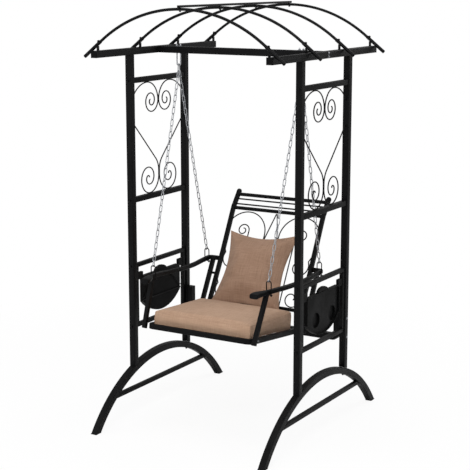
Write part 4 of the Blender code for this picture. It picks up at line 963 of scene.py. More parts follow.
def ring_sleeve(name, start, stop):
    """An open sleeve: its end is a ring with a bore that the roof arch goes into."""
    along = (stop - start).normalized()
    inner = ROOF_WIRE + GAP
    rim = SLEEVE_RADIUS - (SLEEVE_RADIUS - inner) / 4
    bevel = along * (SLEEVE_RADIUS - rim)
    across = Vector(Y_AXIS)
    up = along.cross(across)
    angles = [2 * PI * k / SLEEVE_SIDES for k in range(SLEEVE_SIDES)]
    rings = []
    for centre, radius in (
        (start, inner), (start, rim), (start + bevel, SLEEVE_RADIUS),
        (stop - bevel, SLEEVE_RADIUS), (stop, rim), (stop, inner),
    ):
        rings.append([centre + (across * math.cos(a) + up * math.sin(a)) * radius for a in angles])
    obj = loft(name, rings, closed=True)
    obj.data.set_sharp_from_angle(angle=math.radians(40))
    return obj


def roof_beams(name, side):
    x = side * FRAME_X
    reach = BEAM_HALF_LENGTH - GAP
    line = [(x, -reach, BEAM_MIDDLE), (x, reach, BEAM_MIDDLE)]
    pieces = [tube(f"{name}_beam", line, TUBE_SECTION)]
    stub_top = roof_line(STUB_X) - SLEEVE_RADIUS
    for number, y in enumerate(ROOF_PLACES, 1):
        ends = sleeve_points(side, y, SLEEVE_LENGTH)
        pieces.append(ring_sleeve(f"{name}_sleeve_{number}", *ends))
        line = [(side * STUB_X, y, z) for z in (BEAM_TOP, stub_top)]
        pieces.append(tube(f"{name}_stub_{number}", line, STUB_SECTION))
    fit(join(f"{name}_roof_beam_tube", pieces), "frame", f"{name}_roof_beam")


def roof_arches():
    start, end = PI / 2 + ROOF_ANGLE, PI / 2 - ROOF_ANGLE
    crown = arc((0, ROOF_CENTRE_Z), ROOF_RADIUS, start, end, 56)
    for number, y in enumerate(ROOF_PLACES, 1):
        left, right = (sleeve_points(side, y, SLEEVE_PLUG)[1] for side in (-1, 1))
        points = [left, *((x, y, z) for x, z in crown), right]
        arch = wire(f"roof_arch_tube_{number}", points, ROOF_WIRE, Y_AXIS, steps=5)
        fit(arch, "frame", f"roof_arch_{number}")
    z = ROOF_CENTRE_Z + ROOF_RADIUS + ROOF_WIRE + GAP + RIDGE_SECTION[1] / 2
    reach = ROOF_PLACES[-1] + RIDGE_OVERHANG
    ridge = tube("ridge_tube", [(0, -reach, z), (0, reach, z)], RIDGE_SECTION)
    fit(ridge, "frame", "ridge_bar")


def middle_beams():
    reach = BEAM_INNER_X - GAP
    line = [(-reach, 0, BEAM_MIDDLE), (reach, 0, BEAM_MIDDLE)]
    fit(tube("cross_beam_tube", line, TUBE_SECTION, Y_AXIS), "frame", "cross_beam")
    outer = reach - TUBE / 2
    centre = (outer - STRETCHER_BEND, STRETCHER_BOTTOM + TUBE / 2 + STRETCHER_BEND)
    half = [*arc(centre, STRETCHER_BEND, -PI / 2, 0, 10), (outer, STRETCHER_TOP)]
    points = [(x, POST_Y, z) for x, z in mirrored(half)]
    stretcher = tube("rear_stretcher_tube", points, TUBE_SECTION, Y_AXIS)
    fit(stretcher, "frame", "rear_stretcher")


# Hangers, chains and arm bolts


def hanger(name, side):
    x = side * HANGER_X
    half, bend = HANGER_HALF, HANGER_BEND
    top = BEAM_TOP + GAP + HANGER_THREAD
    path = [(x - half, top)]
    path += arc((x - half + bend, HINGE_Z + bend), bend, PI, 1.5 * PI, 8)
    path += arc((x + half - bend, HINGE_Z + bend), bend, 1.5 * PI, 2 * PI, 8)
    points = [(u, 0, v) for u, v in [*path, (x + half, top)]]
    rod = wire(f"{name}_hanger_rod", points, HANGER_ROD, Y_AXIS, look=CHAIN_ZINC)
    places = [((x + leg * half, 0, BEAM_TOP + GAP), Z_AXIS) for leg in (-1, 1)]
    nuts = bolts(f"{name}_hanger_nuts", places, HANGER_NUT)
    fit(join(f"{name}_hanger_u_bolt", [rod, nuts]), "frame", f"{name}_hanger_bolt")

    upper = HANGER_ROD + PLAY + LINK_WIRE
    lower = 2 * CHAIN_WIRE + GAP + PLAY + LINK_WIRE
    path = arc((0, HINGE_Z), upper, 0, PI, 12)
    path += arc((0, HINGE_Z - LINK_HEIGHT), lower, PI, 2 * PI, 12)
    settings = {"look": CHAIN_ZINC, "cyclic": True}
    ring = wire(f"{name}_hanger_ring", upright(x, path), LINK_WIRE, **settings)
    fit(ring, "swing", f"{name}_hanger_link")


def arm_stations(side):
    bend_y = ARM_REAR_Y - ARM_BEND
    stations = []
    for along, front, dip in ARM_PATH_SHARES:
        y = ARM_FRONT_Y + along * (bend_y - ARM_FRONT_Y)
        z = ARM_TOP_Z - ARM_HEIGHT / 2 - dip * ARM_DIP
        stations.append(Vector((side * (ARM_X - front * ARM_FRONT_INSET), y, z)))
    for x, y in arc((ARM_X - ARM_BEND, bend_y), ARM_BEND, 0, PI / 2, 3)[1:]:
        stations.append(Vector((side * x, y, z)))
    stations.append(Vector((side * STILE_OUTER_X, ARM_REAR_Y, z)))
    return stations


def arm_point(side, y):
    """The point on the arm's middle line at this distance from the front."""
    stations = arm_stations(side)
    for near, far in zip(stations, stations[1:]):
        if near.y <= y <= far.y:
            return near.lerp(far, (y - near.y) / (far.y - near.y))
    return stations[0] if y < stations[0].y else stations[-1]


def bolt_crown(side, end):
    """The middle of the rod of an arm's U-bolt, at its top."""
    up = Vector((0, 0, ARM_HEIGHT / 2 + ARM_BOLT_HEIGHT - ARM_ROD))
    return arm_point(side, BOLT_Y[end]) + up


def chain(label, side, end):
    rest = CHAIN_WIRE + GAP / 2
    drop = math.sqrt((CHAIN_WIRE + GAP + PLAY) ** 2 - rest**2) - GAP
    top = Vector((side * HANGER_X, end * rest, HINGE_Z - LINK_HEIGHT - drop))
    base = bolt_crown(side, end) - Vector((0, 0, ARM_ROD + GAP + CHAIN_WIRE))
    along = (base - top).normalized()
    height = DELTA_HEIGHT - 2 * CHAIN_WIRE
    bottom = base - along * height
    run = (bottom - top).length
    count = 2 * round((run / CHAIN_PITCH - 1) / 2) + 1
    pitch = run / count
    length = pitch - CHAIN_SINK
    first = top + along * (length / 2 + CHAIN_WIRE)
    last = first + along * pitch * (count - 1)
    values = {"Links": count, "Link Length": length + 2 * CHAIN_WIRE}
    links = grow(f"{label}_links", line_object(label, [first, last]), CHAINS, CHAIN_ZINC, values)

    across = (Vector(Y_AXIS) - along * along.y).normalized()
    half = DELTA_BASE / 2 - CHAIN_WIRE
    corners = [(u, height - DELTA_CORNER) for u in (half - DELTA_CORNER, DELTA_CORNER - half)]
    radii = (DELTA_CORNER, DELTA_CORNER, DELTA_TIP)
    shape = []
    for centre, radius, start in zip([*corners, (0, DELTA_TIP)], radii, DELTA_STARTS):
        shape += arc(centre, radius, start * PI, (start + DELTA_SWEEP) * PI, 5)
    points = [bottom + across * u + along * v for u, v in shape]
    settings = {"look": CHAIN_ZINC, "cyclic": True, "steps": 3}
    delta = wire(f"{label}_delta", points, CHAIN_WIRE, **settings)
    fit(join(f"{label}_chain_links", [links, delta]), "swing", f"{label}_chain")


def arm_bolt(label, side, end):
    y = BOLT_Y[end]
    crown = bolt_crown(side, end)
    half = ARM_WIDTH / 2 + ARM_ROD + 2 * GAP
    lowest = min(arm_point(side, y + k * SADDLE_SECTION[0] / 2).z for k in (-1, 1))
    plate_top = lowest - ARM_HEIGHT / 2 - GAP
    plate_low = plate_top - SADDLE_SECTION[1]
    low = plate_low - BOLT_THREAD
    rise = arc((crown.x, crown.z - half), half, PI, 0, 16)
    path = [(crown.x - half, low), *rise, (crown.x + half, low)]
    rod = wire(f"{label}_rod", [(u, y, v) for u, v in path], ARM_ROD, Y_AXIS, steps=3)
    z = (plate_top + plate_low) / 2
    line = [(crown.x - SADDLE_REACH, y, z), (crown.x + SADDLE_REACH, y, z)]
    plate = tube(f"{label}_saddle", line, SADDLE_SECTION, Y_AXIS)
    places = [((crown.x + leg * half, y, plate_low), (0, 0, -1)) for leg in (-1, 1)]
    nuts = bolts(f"{label}_nuts", places, ARM_NUT, STEEL)
    fit(join(f"{label}_u_bolt", [rod, plate, nuts]), "swing", f"{label}_bolt")


# Arms, seat and back


def seat_height(y):
    return SEAT_FRONT_TOP - RAIL / 2 - math.tan(SEAT_TILT) * (y - SEAT_FRONT_Y)


def leg_foot(side, y):
    return Vector((side * LEG_X, y, seat_height(y) - RAIL / 2))


def arm_pad(name, side):
    rings = []
    for along, wide, tall, curl in PAD_ROWS:
        y = ARM_FRONT_Y + along * PAD_LENGTH
        centre = arm_point(side, y)
        top = centre.z + ARM_HEIGHT / 2 + PAD_LIFT + curl * PAD_CURL
        half = wide * PAD_WIDTH / 2
        height = tall * PAD_THICKNESS
        rings.append([(centre.x + u * half, y, top + v * height) for u, v in PAD_SECTION])
    return modified(loft(f"{name}_pad", rings), SUBSURF={"levels": 2, "render_levels": 2})


def arm(name, side):
    stations = arm_stations(side)
    line = smooth_line(stations[:-1], 5) + [stations[-1]]
    rail = tube(f"{name}_arm_rail", line, (ARM_HEIGHT, ARM_WIDTH, ARM_CORNER), Z_AXIS)
    foot = leg_foot(side, SEAT_FRONT_Y)
    top = arm_point(side, SEAT_FRONT_Y + FRONT_LEG_LEAN)
    front_leg = tube(f"{name}_front_leg", [foot, top], THIN_SECTION)
    top = Vector((side * LEG_X, ARM_REAR_Y, stations[-1].z))
    slope = Vector((0, -math.sin(BACK_TILT), -math.cos(BACK_TILT)))
    foot = leg_foot(side, ARM_REAR_Y - REAR_LEG_LEAN)
    foot.y = top.y + slope.y * (top.z - foot.z) / -slope.z
    rear_leg = tube(f"{name}_rear_leg", [foot, top], THIN_SECTION)
    middle = top + slope * SPACER_DROP
    outer = middle - Vector((side * THIN / 2, 0, 0))
    inner = Vector((side * STILE_OUTER_X, middle.y, middle.z))
    spacer = wire(f"{name}_spacer", [outer, inner], SPACER_RADIUS, Y_AXIS)
    pieces = [rail, arm_pad(name, side), front_leg, rear_leg, spacer]
    fit(join(f"{name}_arm_and_legs", pieces), "swing", f"{name}_arm")


SEAT = Matrix.Translation((0, SEAT_FRONT_Y, SEAT_FRONT_TOP)) @ Matrix.Rotation(-SEAT_TILT, 4, "X")
SEAT_UP = SEAT.to_3x3() @ Vector((0, 0, 1))
BACK = Matrix.Translation((0, *STILE_TURN)) @ Matrix.Rotation(PI / 2 - BACK_TILT, 4, "X")


def seat_frame():
    centre = (SEAT_RAIL_X + THIN / 2 - SEAT_CORNER, SEAT_CORNER)
    right = [*arc(centre, SEAT_CORNER - THIN / 2, -PI / 2, 0, 12), (SEAT_RAIL_X, SEAT_LENGTH)]
    points = [SEAT @ Vector((u, v, -RAIL / 2)) for u, v in mirrored(right)]
    pieces = [tube("seat_rail", points, SEAT_RAIL_SECTION, SEAT_UP)]
    span = SEAT_RAIL_X - THIN / 2
    first = THIN + SLAT_WIDTH
    last = SEAT_LENGTH - SLAT_END
    z = -(SLAT_DROP + SLAT_THICKNESS / 2)
    for i in range(SLAT_COUNT):
        v = first + (last - first) * i / (SLAT_COUNT - 1)
        ends = [SEAT @ Vector((u, v, z)) for u in (-span, span)]
        section = (SLAT_THICKNESS, SLAT_WIDTH, SLAT_CORNER)
        pieces.append(tube(f"seat_slat_{i}", ends, section, SEAT_UP))
    fit(join("seat_rails_and_slats", pieces), "swing", "seat_frame")


def stile_line():
    turn = Vector(STILE_TURN)
    rise = Vector((math.sin(BACK_TILT), math.cos(BACK_TILT)))
    head = Vector((math.sin(BACK_HEAD_TILT), math.cos(BACK_HEAD_TILT)))
    bow = Vector((-rise.y, rise.x)) * -BACK_BOW
    knee = turn + rise * BACK_LENGTH
    neck = knee + (rise + head).normalized() * BACK_HEAD / 3
    middle = turn + rise * BACK_LENGTH / 2 + bow
    return [Vector(STILE_FOOT), turn, middle, knee, neck, neck + head * BACK_HEAD * 2 / 3]


def head_point(share):
    """A point on the head of the stile, as a share of its length from the top."""
    line = stile_line()[3:]
    left = BACK_HEAD * (1 - share)
    for near, far in zip(line, line[1:]):
        step = (far - near).length
        if left <= step:
            return near.lerp(far, left / step)
        left -= step
    return line[-1]


def ball(name, centre):
    """The stile's round end."""
    shell = bmesh.new()
    bmesh.ops.create_uvsphere(shell, u_segments=24, v_segments=14, radius=BALL_RADIUS)
    for vert in shell.verts:
        vert.co = Vector(centre) + vert.co
    return steel_object(name, shell)


def back_scrolls():
    """The wires of the back: hearts, stems with curls, braces and side curls."""
    reach = STILE_INNER_X
    inner = reach - 2 * SIDE_CURL_RADIUS - BACK_WIRE
    heart_x = reach - HEART_INSET_SHARE * HEART_RADIUS
    heart_s = BACK_LENGTH - HEART_RADIUS
    start = math.acos((reach - heart_x) / HEART_RADIUS)
    heart = arc((heart_x, heart_s), HEART_RADIUS, start, PI, 26)
    heart.append((heart_x - HEART_RADIUS, 0))
    curl_s = heart_s + CURL_RADIUS / 2
    centre = (inner + CURL_RADIUS, curl_s)
    curl = spiral(centre, CURL_RADIUS, PI, CURL_TURN, CURL_LOSS_SHARE * CURL_RADIUS)
    stem = [(inner, 0), (inner, curl_s), *curl]
    brace_foot = (heart_x - HEART_RADIUS, BACK_LENGTH - BRACE_DROP)
    lines = [heart, stem, [(BRACE_X, BACK_LENGTH + BRACE_RISE), brace_foot]]
    size = SIDE_CURL_RADIUS
    for share in SIDE_CURL_SHARES:
        s = BACK_LENGTH * share
        loss = SIDE_CURL_LOSS_SHARE * size
        curl = spiral((reach - size, s), size, PI / 4, SIDE_CURL_TURN, loss)
        lines.append([(reach, s + size), *curl])
    wires = []
    for side in (-1, 1):
        for number, line in enumerate(lines):
            points = [BACK @ Vector((side * x, s, 0)) for x, s in line]
            label = f"back_wire_{side}_{number}"
            wires.append(wire(label, points, BACK_WIRE, BACK.col[2][:3], steps=3))
    return wires


def back_frame():
    pieces = back_scrolls()
    for side in (-1, 1):
        points = [(side * STILE_X, *point) for point in stile_line()]
        path = [Vector(points[0])] + smooth_line(points[1:], 6)
        pieces.append(tube(f"stile_{side}", path, THIN_SECTION))
        pieces.append(ball(f"stile_ball_{side}", points[-1]))
    bars = [(head_point(share), radius) for share, radius in HEAD_BARS]
    for number, (point, radius) in enumerate([*bars, (STILE_TURN, THICK_BAR)]):
        ends = [(-STILE_INNER_X, *point), (STILE_INNER_X, *point)]
        pieces.append(wire(f"back_bar_{number}", ends, radius, Y_AXIS))
    fit(join("back_rest", pieces), "swing", "back_frame")


# Trays, plugs and small fasteners


def moulded_copy(name, cad_node):
    """A merged copy of a CAD node in plastic, with its edges rounded."""
    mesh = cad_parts[cad_node].data.copy()
    with edited(mesh) as shell:
        bmesh.ops.remove_doubles(shell, verts=shell.verts, dist=MERGE)
        flat = {"angle_limit": math.radians(1), "verts": shell.verts, "edges": shell.edges}
        bmesh.ops.dissolve_limit(shell, **flat)
        for face in shell.faces:
            face.smooth = True
    edges = {
        "width": MOULD_EDGE, "segments": 2, "limit_method": "ANGLE",
        "angle_limit": math.radians(35),
    }
    obj = new_object(name, mesh, PLASTIC)
    return modified(obj, BEVEL=edges, WEIGHTED_NORMAL={"weight": 100})


def tray_and_stay(name, side):
    fit(moulded_copy(f"{name}_moulded_tray", f"{name}_tray"), f"{name}_tray", f"{name}_tray")
    outer = LUG_Y + LUG_SIDE / 2 + STAY_WIRE + PLAY
    tip = LUG_Y - LUG_SIDE / 2 - PLAY
    share_y, share_z = STAY_MIDDLE_SHARES
    middle_y = outer + share_y * (STAY_BAR_HALF - outer)
    middle_z = STAY_BAR_Z + share_z * (LUG_Z - STAY_BAR_Z)
    corners = [(tip, LUG_Z), (outer, LUG_Z), (middle_y, middle_z), (STAY_BAR_HALF, STAY_BAR_Z)]
    centre = (STAY_BAR_HALF - STAY_BEND, STAY_BAR_Z + STAY_BEND)
    half = rounded(corners, STAY_ROUNDING) + arc(centre, STAY_BEND, STAY_END_ANGLE, -PI / 2, 8)
    line = [(-y, z) for y, z in half] + half[::-1]
    stay = wire(f"{name}_stay_wire", upright(side * LUG_X, line), STAY_WIRE, steps=3)
    fit(stay, f"{name}_stay", f"{name}_stay")


def fasteners():
    """The bolt heads and nuts, each a point and the direction that it stands in."""
    heads, nuts, seat_heads = [], [], []
    inner_radius = ARCH_RADIUS - TUBE
    rails = [top - RAIL / 2 for top in RAIL_TOPS.values()]
    rails += [TRAY_FRAME_TOP - THIN / 2, TRAY_FRAME_BOTTOM + THIN / 2]
    for side in (-1, 1):
        x = side * FRAME_X
        outer = side * (BEAM_OUTER_X + GAP)
        out = (side, 0, 0)
        heads += [((outer, 0, BEAM_MIDDLE + k * HANGER_BOLT_SPREAD), out) for k in (-1, 1)]
        heads += [((outer, POST_Y, z), out) for z in STRETCHER_BOLTS]
        for end in (-1, 1):
            face_y = end * (POST_Y + TUBE / 2 + GAP)
            nuts += [((x, face_y, z), (0, end, 0)) for z in rails]
            depth = math.sqrt(inner_radius**2 - POST_Y**2)
            radial = Vector((0, -end * POST_Y, -depth)).normalized()
            nuts.append((Vector((x, 0, ARCH_CENTRE_Z)) - radial * (inner_radius - GAP), radial))
        seat_x = side * (SEAT_RAIL_X + THIN / 2 + GAP)
        seat_heads.append(((seat_x, SEAT_BOLT_Y, seat_height(SEAT_BOLT_Y)), out))
        for y in ROOF_PLACES:
            start, stop = sleeve_points(side, y, SLEEVE_NUT_INSET)
            up = Vector((side * math.sin(ROOF_ANGLE), 0, math.cos(ROOF_ANGLE)))
            nuts.append((stop + up * SLEEVE_RADIUS, up))
    z = ROOF_CENTRE_Z + ROOF_RADIUS - ROOF_WIRE
    nuts += [((0, y, z - GAP), (0, 0, -1)) for y in ROOF_PLACES]
    for obj, body, slot in (
        (bolts("frame_bolt_heads", heads, FRAME_BOLT), "frame", "left_hanger_bolt"),
        (bolts("frame_dark_nuts", nuts, FRAME_NUT, STEEL), "frame", "left_roof_beam"),
        (bolts("seat_bolt_heads", seat_heads, SEAT_BOLT), "swing", "left_hanger_link"),
    ):
        fit(obj, body, slot, stands_for=False)


# Cushions


def soft_shell(name, size, crown, draw, fullness, cells, wedge=0.0, square=False):
    """Two sheets that meet in a seam, with a crown, drawn-in sides and a thicker rear."""
    width, depth, thickness = size
    shell = bmesh.new()
    threads = shell.loops.layers.uv.new("threads")
    stations = [math.sin(PI / 2 * (2 * i / cells - 1)) for i in range(cells + 1)]
    for face_side in (-1, 1):
        power = 3 * fullness if square and face_side < 0 else fullness
        sheet = []
        for u in stations:
            row = []
            for v in stations:
                x = u * (width / 2 - draw * (1 - v * v) * u * u)
                near_draw = draw * FOOT_DRAW_SHARE if v < 0 else draw
                y = v * (depth / 2 - near_draw * (1 - u * u) * v * v)
                fills = [(1 - abs(w) ** power) ** (1 / power) for w in (u, v)]
                fill = min(fills) if square else fills[0] * fills[1]
                extra = wedge * (1 + v) / 2
                z = extra / 2 + face_side * (thickness + extra) / 2 * fill
                if face_side > 0:
                    z += crown * (1 - u * u) * (1 - v * v)
                row.append(shell.verts.new((x, y, z)))
            sheet.append(row)
        for near, far in zip(sheet, sheet[1:]):
            for j in range(cells):
                corners = [near[j], far[j], far[j + 1], near[j + 1]]
                face = shell.faces.new(corners if face_side > 0 else corners[::-1])
                for loop in face.loops:
                    loop[threads].uv = loop.vert.co.xy
    bmesh.ops.remove_doubles(shell, verts=shell.verts, dist=MERGE)
    return new_object(name, mesh_of(name, shell))


def inflate(obj, pressure, frames, cap, stiffness, sideways, held=0.0):
    """Blows the closed cloth up for some frames, then keeps each point within the cap of its start.

    Sideways is the share of the movement in the cushion's own plane that stays. Points at the
    bottom don't move, and the movement comes in over the height held.
    """
    start = [vert.co.copy() for vert in obj.data.vertices]
    bottom = min(point.z for point in start)
    cloth = obj.modifiers.new("cloth", "CLOTH")
    cloth.settings.effector_weights.gravity = 0
    for key, value in {
        "use_pressure": True,
        "uniform_pressure_force": pressure,
        "tension_stiffness": stiffness,
        "compression_stiffness": stiffness,
        "shear_stiffness": stiffness / 3,
        "bending_stiffness": 0.5,
    }.items():
        setattr(cloth.settings, key, value)
    cloth.point_cache.frame_start = 1
    cloth.point_cache.frame_end = frames
    for number in range(1, frames + 1):
        bpy.context.scene.frame_set(number)
    mesh = evaluated_mesh(obj)
    obj.modifiers.clear()
    for vert, before in zip(mesh.vertices, start):
        step = vert.co - before
        step.x *= sideways
        step.y *= sideways
        if held:
            step *= min(1.0, (before.z - bottom) / held)
        vert.co = before + step
        if step.length > cap:
            vert.co = before + step * (cap / step.length)
    obj.data = mesh


def surface_tree(mesh):
    points = [vert.co for vert in mesh.vertices]
    return BVHTree.FromPolygons(points, [tuple(face.vertices) for face in mesh.polygons])


def smooth_loop(points, rounds):
    for _ in range(rounds):
        count = len(points)
        points = [
            (points[i - 1] + points[i] * 2 + points[(i + 1) % count]) / 4 for i in range(count)
        ]
    return points


def resample(points, count):
    """The closed line as this many points at even steps."""
    closed = points + [points[0]]
    lengths = [0.0]
    for near, far in zip(closed, closed[1:]):
        lengths.append(lengths[-1] + (far - near).length)
    out = []
    k = 0
    for i in range(count):
        target = lengths[-1] * i / count
        while lengths[k + 1] < target:
            k += 1
        share = (target - lengths[k]) / max(lengths[k + 1] - lengths[k], 1e-9)
        out.append(closed[k].lerp(closed[k + 1], share))
    return out


def edge_loop(obj, size, height, count):
    """A closed line on the cushion, nearest to a larger rectangle at this height outside it."""
    tree = surface_tree(obj.data)
    half_x, half_y = size[0] / 2, size[1] / 2
    outline = []
    for sx, sy, start in ((1, -1, -0.5), (1, 1, 0.0), (-1, 1, 0.5), (-1, -1, 1.0)):
        centre = (sx * (half_x - EDGE_CORNER), sy * (half_y - EDGE_CORNER))
        outline += arc(centre, EDGE_CORNER, start * PI, (start + 0.5) * PI, 8)
    found = []
    for point in resample([Vector((u, v, 0)) for u, v in outline], count):
        outward = Vector((point.x / half_x, point.y / half_y, 0)).normalized() * EDGE_PROBE
        away = point + outward + Vector((0, 0, height(point.y)))
        found.append(tree.find_nearest(away)[0])
    return smooth_loop(found, 6)


def lay_threads(mesh, boxed=False):
    """Lays the weave slanting over a mesh, or, boxed, flat on the side that each face faces."""
    layer = mesh.uv_layers.get("threads") or mesh.uv_layers.new(name="threads")
    for polygon in mesh.polygons:
        normal = polygon.normal
        axis = max(range(3), key=lambda k: abs(normal[k]))
        first, second = ((1, 2), (0, 2), (0, 1))[axis]
        for index in polygon.loop_indices:
            co = mesh.vertices[mesh.loops[index].vertex_index].co
            flat = (co[first], co[second]) if boxed else (co.x + co.z, co.y - co.z)
            layer.data[index].uv = flat


def welt(name, loop, radius, look):
    cord = wire(name, loop, radius, Z_AXIS, look=look, cyclic=True, steps=2)
    lay_threads(cord.data)
    return cord


def finer(obj, look):
    """A cushion's mesh once subdivided, smooth and in its cloth."""
    modified(obj, SUBSURF={"levels": 1, "render_levels": 1})
    obj.data.materials.clear()
    obj.data.materials.append(look)
    for polygon in obj.data.polygons:
        polygon.use_smooth = True


def seat_cushion():
    width, depth, thickness = CUSHION
    slim = [size - room for size, room in zip(CUSHION, CUSHION_ROOM)]
    settings = {"fullness": 14, "cells": 44, "wedge": CUSHION_WEDGE, "square": True}
    obj = soft_shell("seat_cushion_cover", slim, CUSHION_CROWN, CUSHION_DRAW, **settings)
    modified(obj, REMESH={"mode": "VOXEL", "voxel_size": 0.0045})
    limits = {"cap": 0.005, "sideways": 0.6, "held": 0.024}
    inflate(obj, pressure=3.0, frames=12, stiffness=25.0, **limits)
    for vert in obj.data.vertices:
        vert.co.z = max(vert.co.z, -thickness / 2)

    def top(y):
        return thickness / 2 + CUSHION_WEDGE * (y / depth + 0.5) + WELT_ABOVE

    def bottom(y):
        return -thickness / 2 - WELT_BELOW

    trims = []
    for label, height in (("top", top), ("bottom", bottom)):
        loop = edge_loop(obj, (width, depth), height, WELT_POINTS)
        trims.append(welt(f"cushion_welt_{label}", loop, CUSHION_WELT, TAN))
    size = (width - STITCH_INSET, depth - STITCH_INSET)
    loop = edge_loop(obj, size, lambda y: top(y) + STITCH_PROBE, STITCH_POINTS)
    line = line_object("cushion_stitch", loop, True)
    stitching = grow("cushion_stitching", line, STITCHES, THREAD, STITCH_SIZES)
    lay_threads(stitching.data)
    finer(obj, TAN)
    lay_threads(obj.data, boxed=True)
    matrix = SEAT @ Matrix.Translation((0, CUSHION_INSET + depth / 2, CUSHION_LIFT))
    for piece in (obj, *trims, stitching):
        piece.data.transform(matrix)
        fit(piece, "swing", "seat_cushion", stands_for=piece is obj)
    return obj


def pillow_fold(x, y, width, height):
    """Depth of the soft folds in front: some run in from the sides, and one lies above the foot."""
    depth = 0.0
    for level, slope, reach, amount, spread in PILLOW_FOLDS:
        for side in (-1, 1):
            inward = max(0.0, (0.5 - side * x / width) / reach)
            line_y = level * height + side * slope * (x - side * width / 2)
            fade = math.exp(-inward * inward * FOLD_EASE)
            depth += amount * fade * math.exp(-(((y - line_y) / spread) ** 2))
    foot = math.exp(-(((y + FOOT_FOLD_SHARE * height) / FOOT_FOLD_SPREAD) ** 2))
    return depth + FOOT_FOLD_DEPTH * foot


def lay_against(mesh, cushion_tree):
    """Keeps the pillow in front of the wires of the back and on top of the seat cushion."""
    to_back = BACK.inverted()
    for vert in mesh.vertices:
        place = to_back @ vert.co
        past = (place.z - PILLOW_REST) / PILLOW_REST_EASE
        if past < PILLOW_REST_REACH:
            place.z = PILLOW_REST + PILLOW_REST_EASE * math.log1p(math.exp(past))
            vert.co = BACK @ place
        above = vert.co + SEAT_UP * CUSHION_PROBE
        top = cushion_tree.ray_cast(above, -SEAT_UP, 2 * CUSHION_PROBE)[0]
        if top and (vert.co - top).dot(SEAT_UP) < SOFT_GAP:
            vert.co = top + SEAT_UP * SOFT_GAP


def back_pillow(cushion):
    width, height, thickness = PILLOW
    cushion_tree = surface_tree(cushion.data)
    start = (width, height, PILLOW_START)
    obj = soft_shell("back_pillow_cover", start, 0.0, PILLOW_DRAW, fullness=2.4, cells=56)
    inflate(obj, pressure=5.0, frames=24, cap=0.080, stiffness=8.0, sideways=0.12)
    verts = obj.data.vertices
    for k, size in enumerate(PILLOW):
        low, high = (limit(vert.co[k] for vert in verts) for limit in (min, max))
        middle, scale = (low + high) / 2, size / (high - low)
        for vert in verts:
            vert.co[k] = (vert.co[k] - middle) * scale
    for vert in verts:
        x, y, z = vert.co
        if z > 0:
            share = min(1.0, z / (PILLOW_FRONT_SHARE * thickness))
            vert.co.z = z - share * pillow_fold(x, y, width, height)
        up = y / height + 0.5
        vert.co.x = x + PILLOW_LEAN * (0.5 - up) - PILLOW_SHIFT
        vert.co.y = y + up * (PILLOW_RISE + PILLOW_CANT * x / width)
    matrix = (
        BACK
        @ Matrix.Translation((0, PILLOW_LIFT, PILLOW_OFFSET))
        @ Matrix.Rotation(-PILLOW_RECLINE, 4, "X")
        @ Matrix.Translation((0, height / 2, 0))
    )
    cord = welt("pillow_welt", seam_loop(obj.data), PILLOW_WELT, PILLOW_TAN)
    finer(obj, PILLOW_TAN)
    for piece in (obj, cord):
        piece.data.transform(matrix)
        lay_against(piece.data, cushion_tree)
        fit(piece, "swing", "back_pillow", stands_for=piece is obj)


def seam_loop(mesh):
    """The closed line where the pillow's two sheets meet."""
    shell = bmesh.new()
    shell.from_mesh(mesh)
    uv = shell.loops.layers.uv["threads"]
    follow = {}
    first = None
    for edge in shell.edges:
        facing = [face.normal.z for face in edge.link_faces]
        if len(facing) == 2 and facing[0] * facing[1] < 0 and is_rim(edge, uv):
            first = first or edge.verts[0]
            for vert in edge.verts:
                follow.setdefault(vert.index, []).append(edge)
    order, used, vert = [], set(), first
    while not order or vert != first:
        order.append(vert.co.copy())
        edge = next((edge for edge in follow[vert.index] if edge.index not in used), None)
        if edge is None:
            break
        used.add(edge.index)
        vert = edge.other_vert(vert)
    shell.free()
    return smooth_loop(order, 1)


def is_rim(edge, uv):
    """True where the edge was on the outline of the flat sheets."""
    width, height, _ = PILLOW
    for vert in edge.verts:
        place = vert.link_loops[0][uv].uv
        u, v = 2 * place.x / width, 2 * place.y / height
        edge_x = 1 - 2 * PILLOW_DRAW / width * (1 - v * v) - abs(u)
        draw = PILLOW_DRAW * FOOT_DRAW_SHARE if v < 0 else PILLOW_DRAW
        edge_y = 1 - 2 * draw / height * (1 - u * u) - abs(v)
        if min(edge_x, edge_y) > RIM_REACH:
            return False
    return True


# Scene


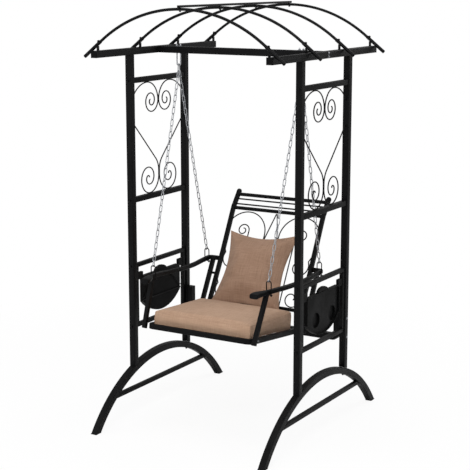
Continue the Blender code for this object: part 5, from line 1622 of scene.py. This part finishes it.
def pale_floor():
    """A white floor that glows to the camera away from the chair, and keeps its shadow near it."""
    corners = [(-1, -1), (1, -1), (1, 1), (-1, 1)]
    points = [(x * FLOOR_REACH, y * FLOOR_REACH, 0) for x, y in corners]
    material, nodes, shader = new_material("pale_floor")
    base = (0.92, 0.92, 0.92, 1.0)
    nodes.feed(shader, {"Base Color": base, "Roughness": 0.9, "Specular IOR Level": 0.1})
    glow = nodes.add("ShaderNodeEmission", {"Color": WHITE, "Strength": 1.0})[0]
    seen = nodes.add("ShaderNodeLightPath")["Is Camera Ray"]
    place = nodes.add("ShaderNodeTexCoord")["Object"]
    away = nodes.add("ShaderNodeVectorMath", {0: place}, operation="LENGTH")["Value"]
    share = nodes.times(seen, nodes.remap(away, 0.9, 2.6, 0.90, 1.0))
    plain = nodes.tree.nodes["Principled BSDF"].outputs[0]
    mixed = nodes.add("ShaderNodeMixShader", {0: share, 1: plain, 2: glow})[0]
    nodes.feed(nodes.tree.nodes["Material Output"].inputs, {"Surface": mixed})
    new_object("floor", mesh_from("floor", points, faces=[(0, 1, 2, 3)]), material)


def studio_light():
    world = bpy.data.worlds.new("studio")
    bpy.context.scene.world = world
    world.use_nodes = True
    nodes = Nodes(world.node_tree)
    seen = nodes.add("ShaderNodeLightPath")["Is Camera Ray"]
    strength = nodes.remap(seen, 0.0, 1.0, 0.42, 1.0)
    background = nodes.tree.nodes["Background"].inputs
    nodes.feed(background, {"Strength": strength, "Color": WHITE})
    for name, (energy, size, place) in LAMPS.items():
        light = bpy.data.lights.new(name, "AREA")
        light.energy = energy
        light.size = size
        turn = (LAMP_AIM - Vector(place)).to_track_quat("-Z", "Y").to_matrix().to_4x4()
        new_object(name, light).matrix_world = Matrix.Translation(place) @ turn


def photo_camera():
    data = bpy.data.cameras.new("photo_camera")
    data.lens = 100.6
    data.sensor_width = 36.0
    data.shift_x = 0.0018
    data.shift_y = -0.0009
    right = Vector(CAMERA_RIGHT).normalized()
    back = Vector(CAMERA_BACK).normalized()
    up = back.cross(right).normalized()
    turn = Matrix((right, up, back)).transposed().to_4x4()
    camera = new_object("photo_camera", data)
    camera.matrix_world = Matrix.Translation(CAMERA_PLACE) @ turn
    bpy.context.scene.camera = camera


def main():
    bpy.context.scene.view_settings.view_transform = "Standard"
    photo_camera()
    pale_floor()
    studio_light()
    for name, side in SIDES.items():
        side_tubes(name, side)
        side_scrolls(name, side)
        roof_beams(name, side)
        hanger(name, side)
        for end_name, end in ENDS.items():
            corner = f"{name}_{end_name}"
            chain(corner, side, end)
            arm_bolt(f"{corner}_arm", side, end)
            for cap in (f"{corner}_foot_cap", f"{corner}_beam_cap"):
                fit(moulded_copy(f"{cap}_moulded", cap), "frame", cap)
        arm(name, side)
        tray_and_stay(name, side)
    roof_arches()
    middle_beams()
    seat_frame()
    back_frame()
    fasteners()
    back_pillow(seat_cushion())
    bpy.context.scene.frame_set(1)


main()
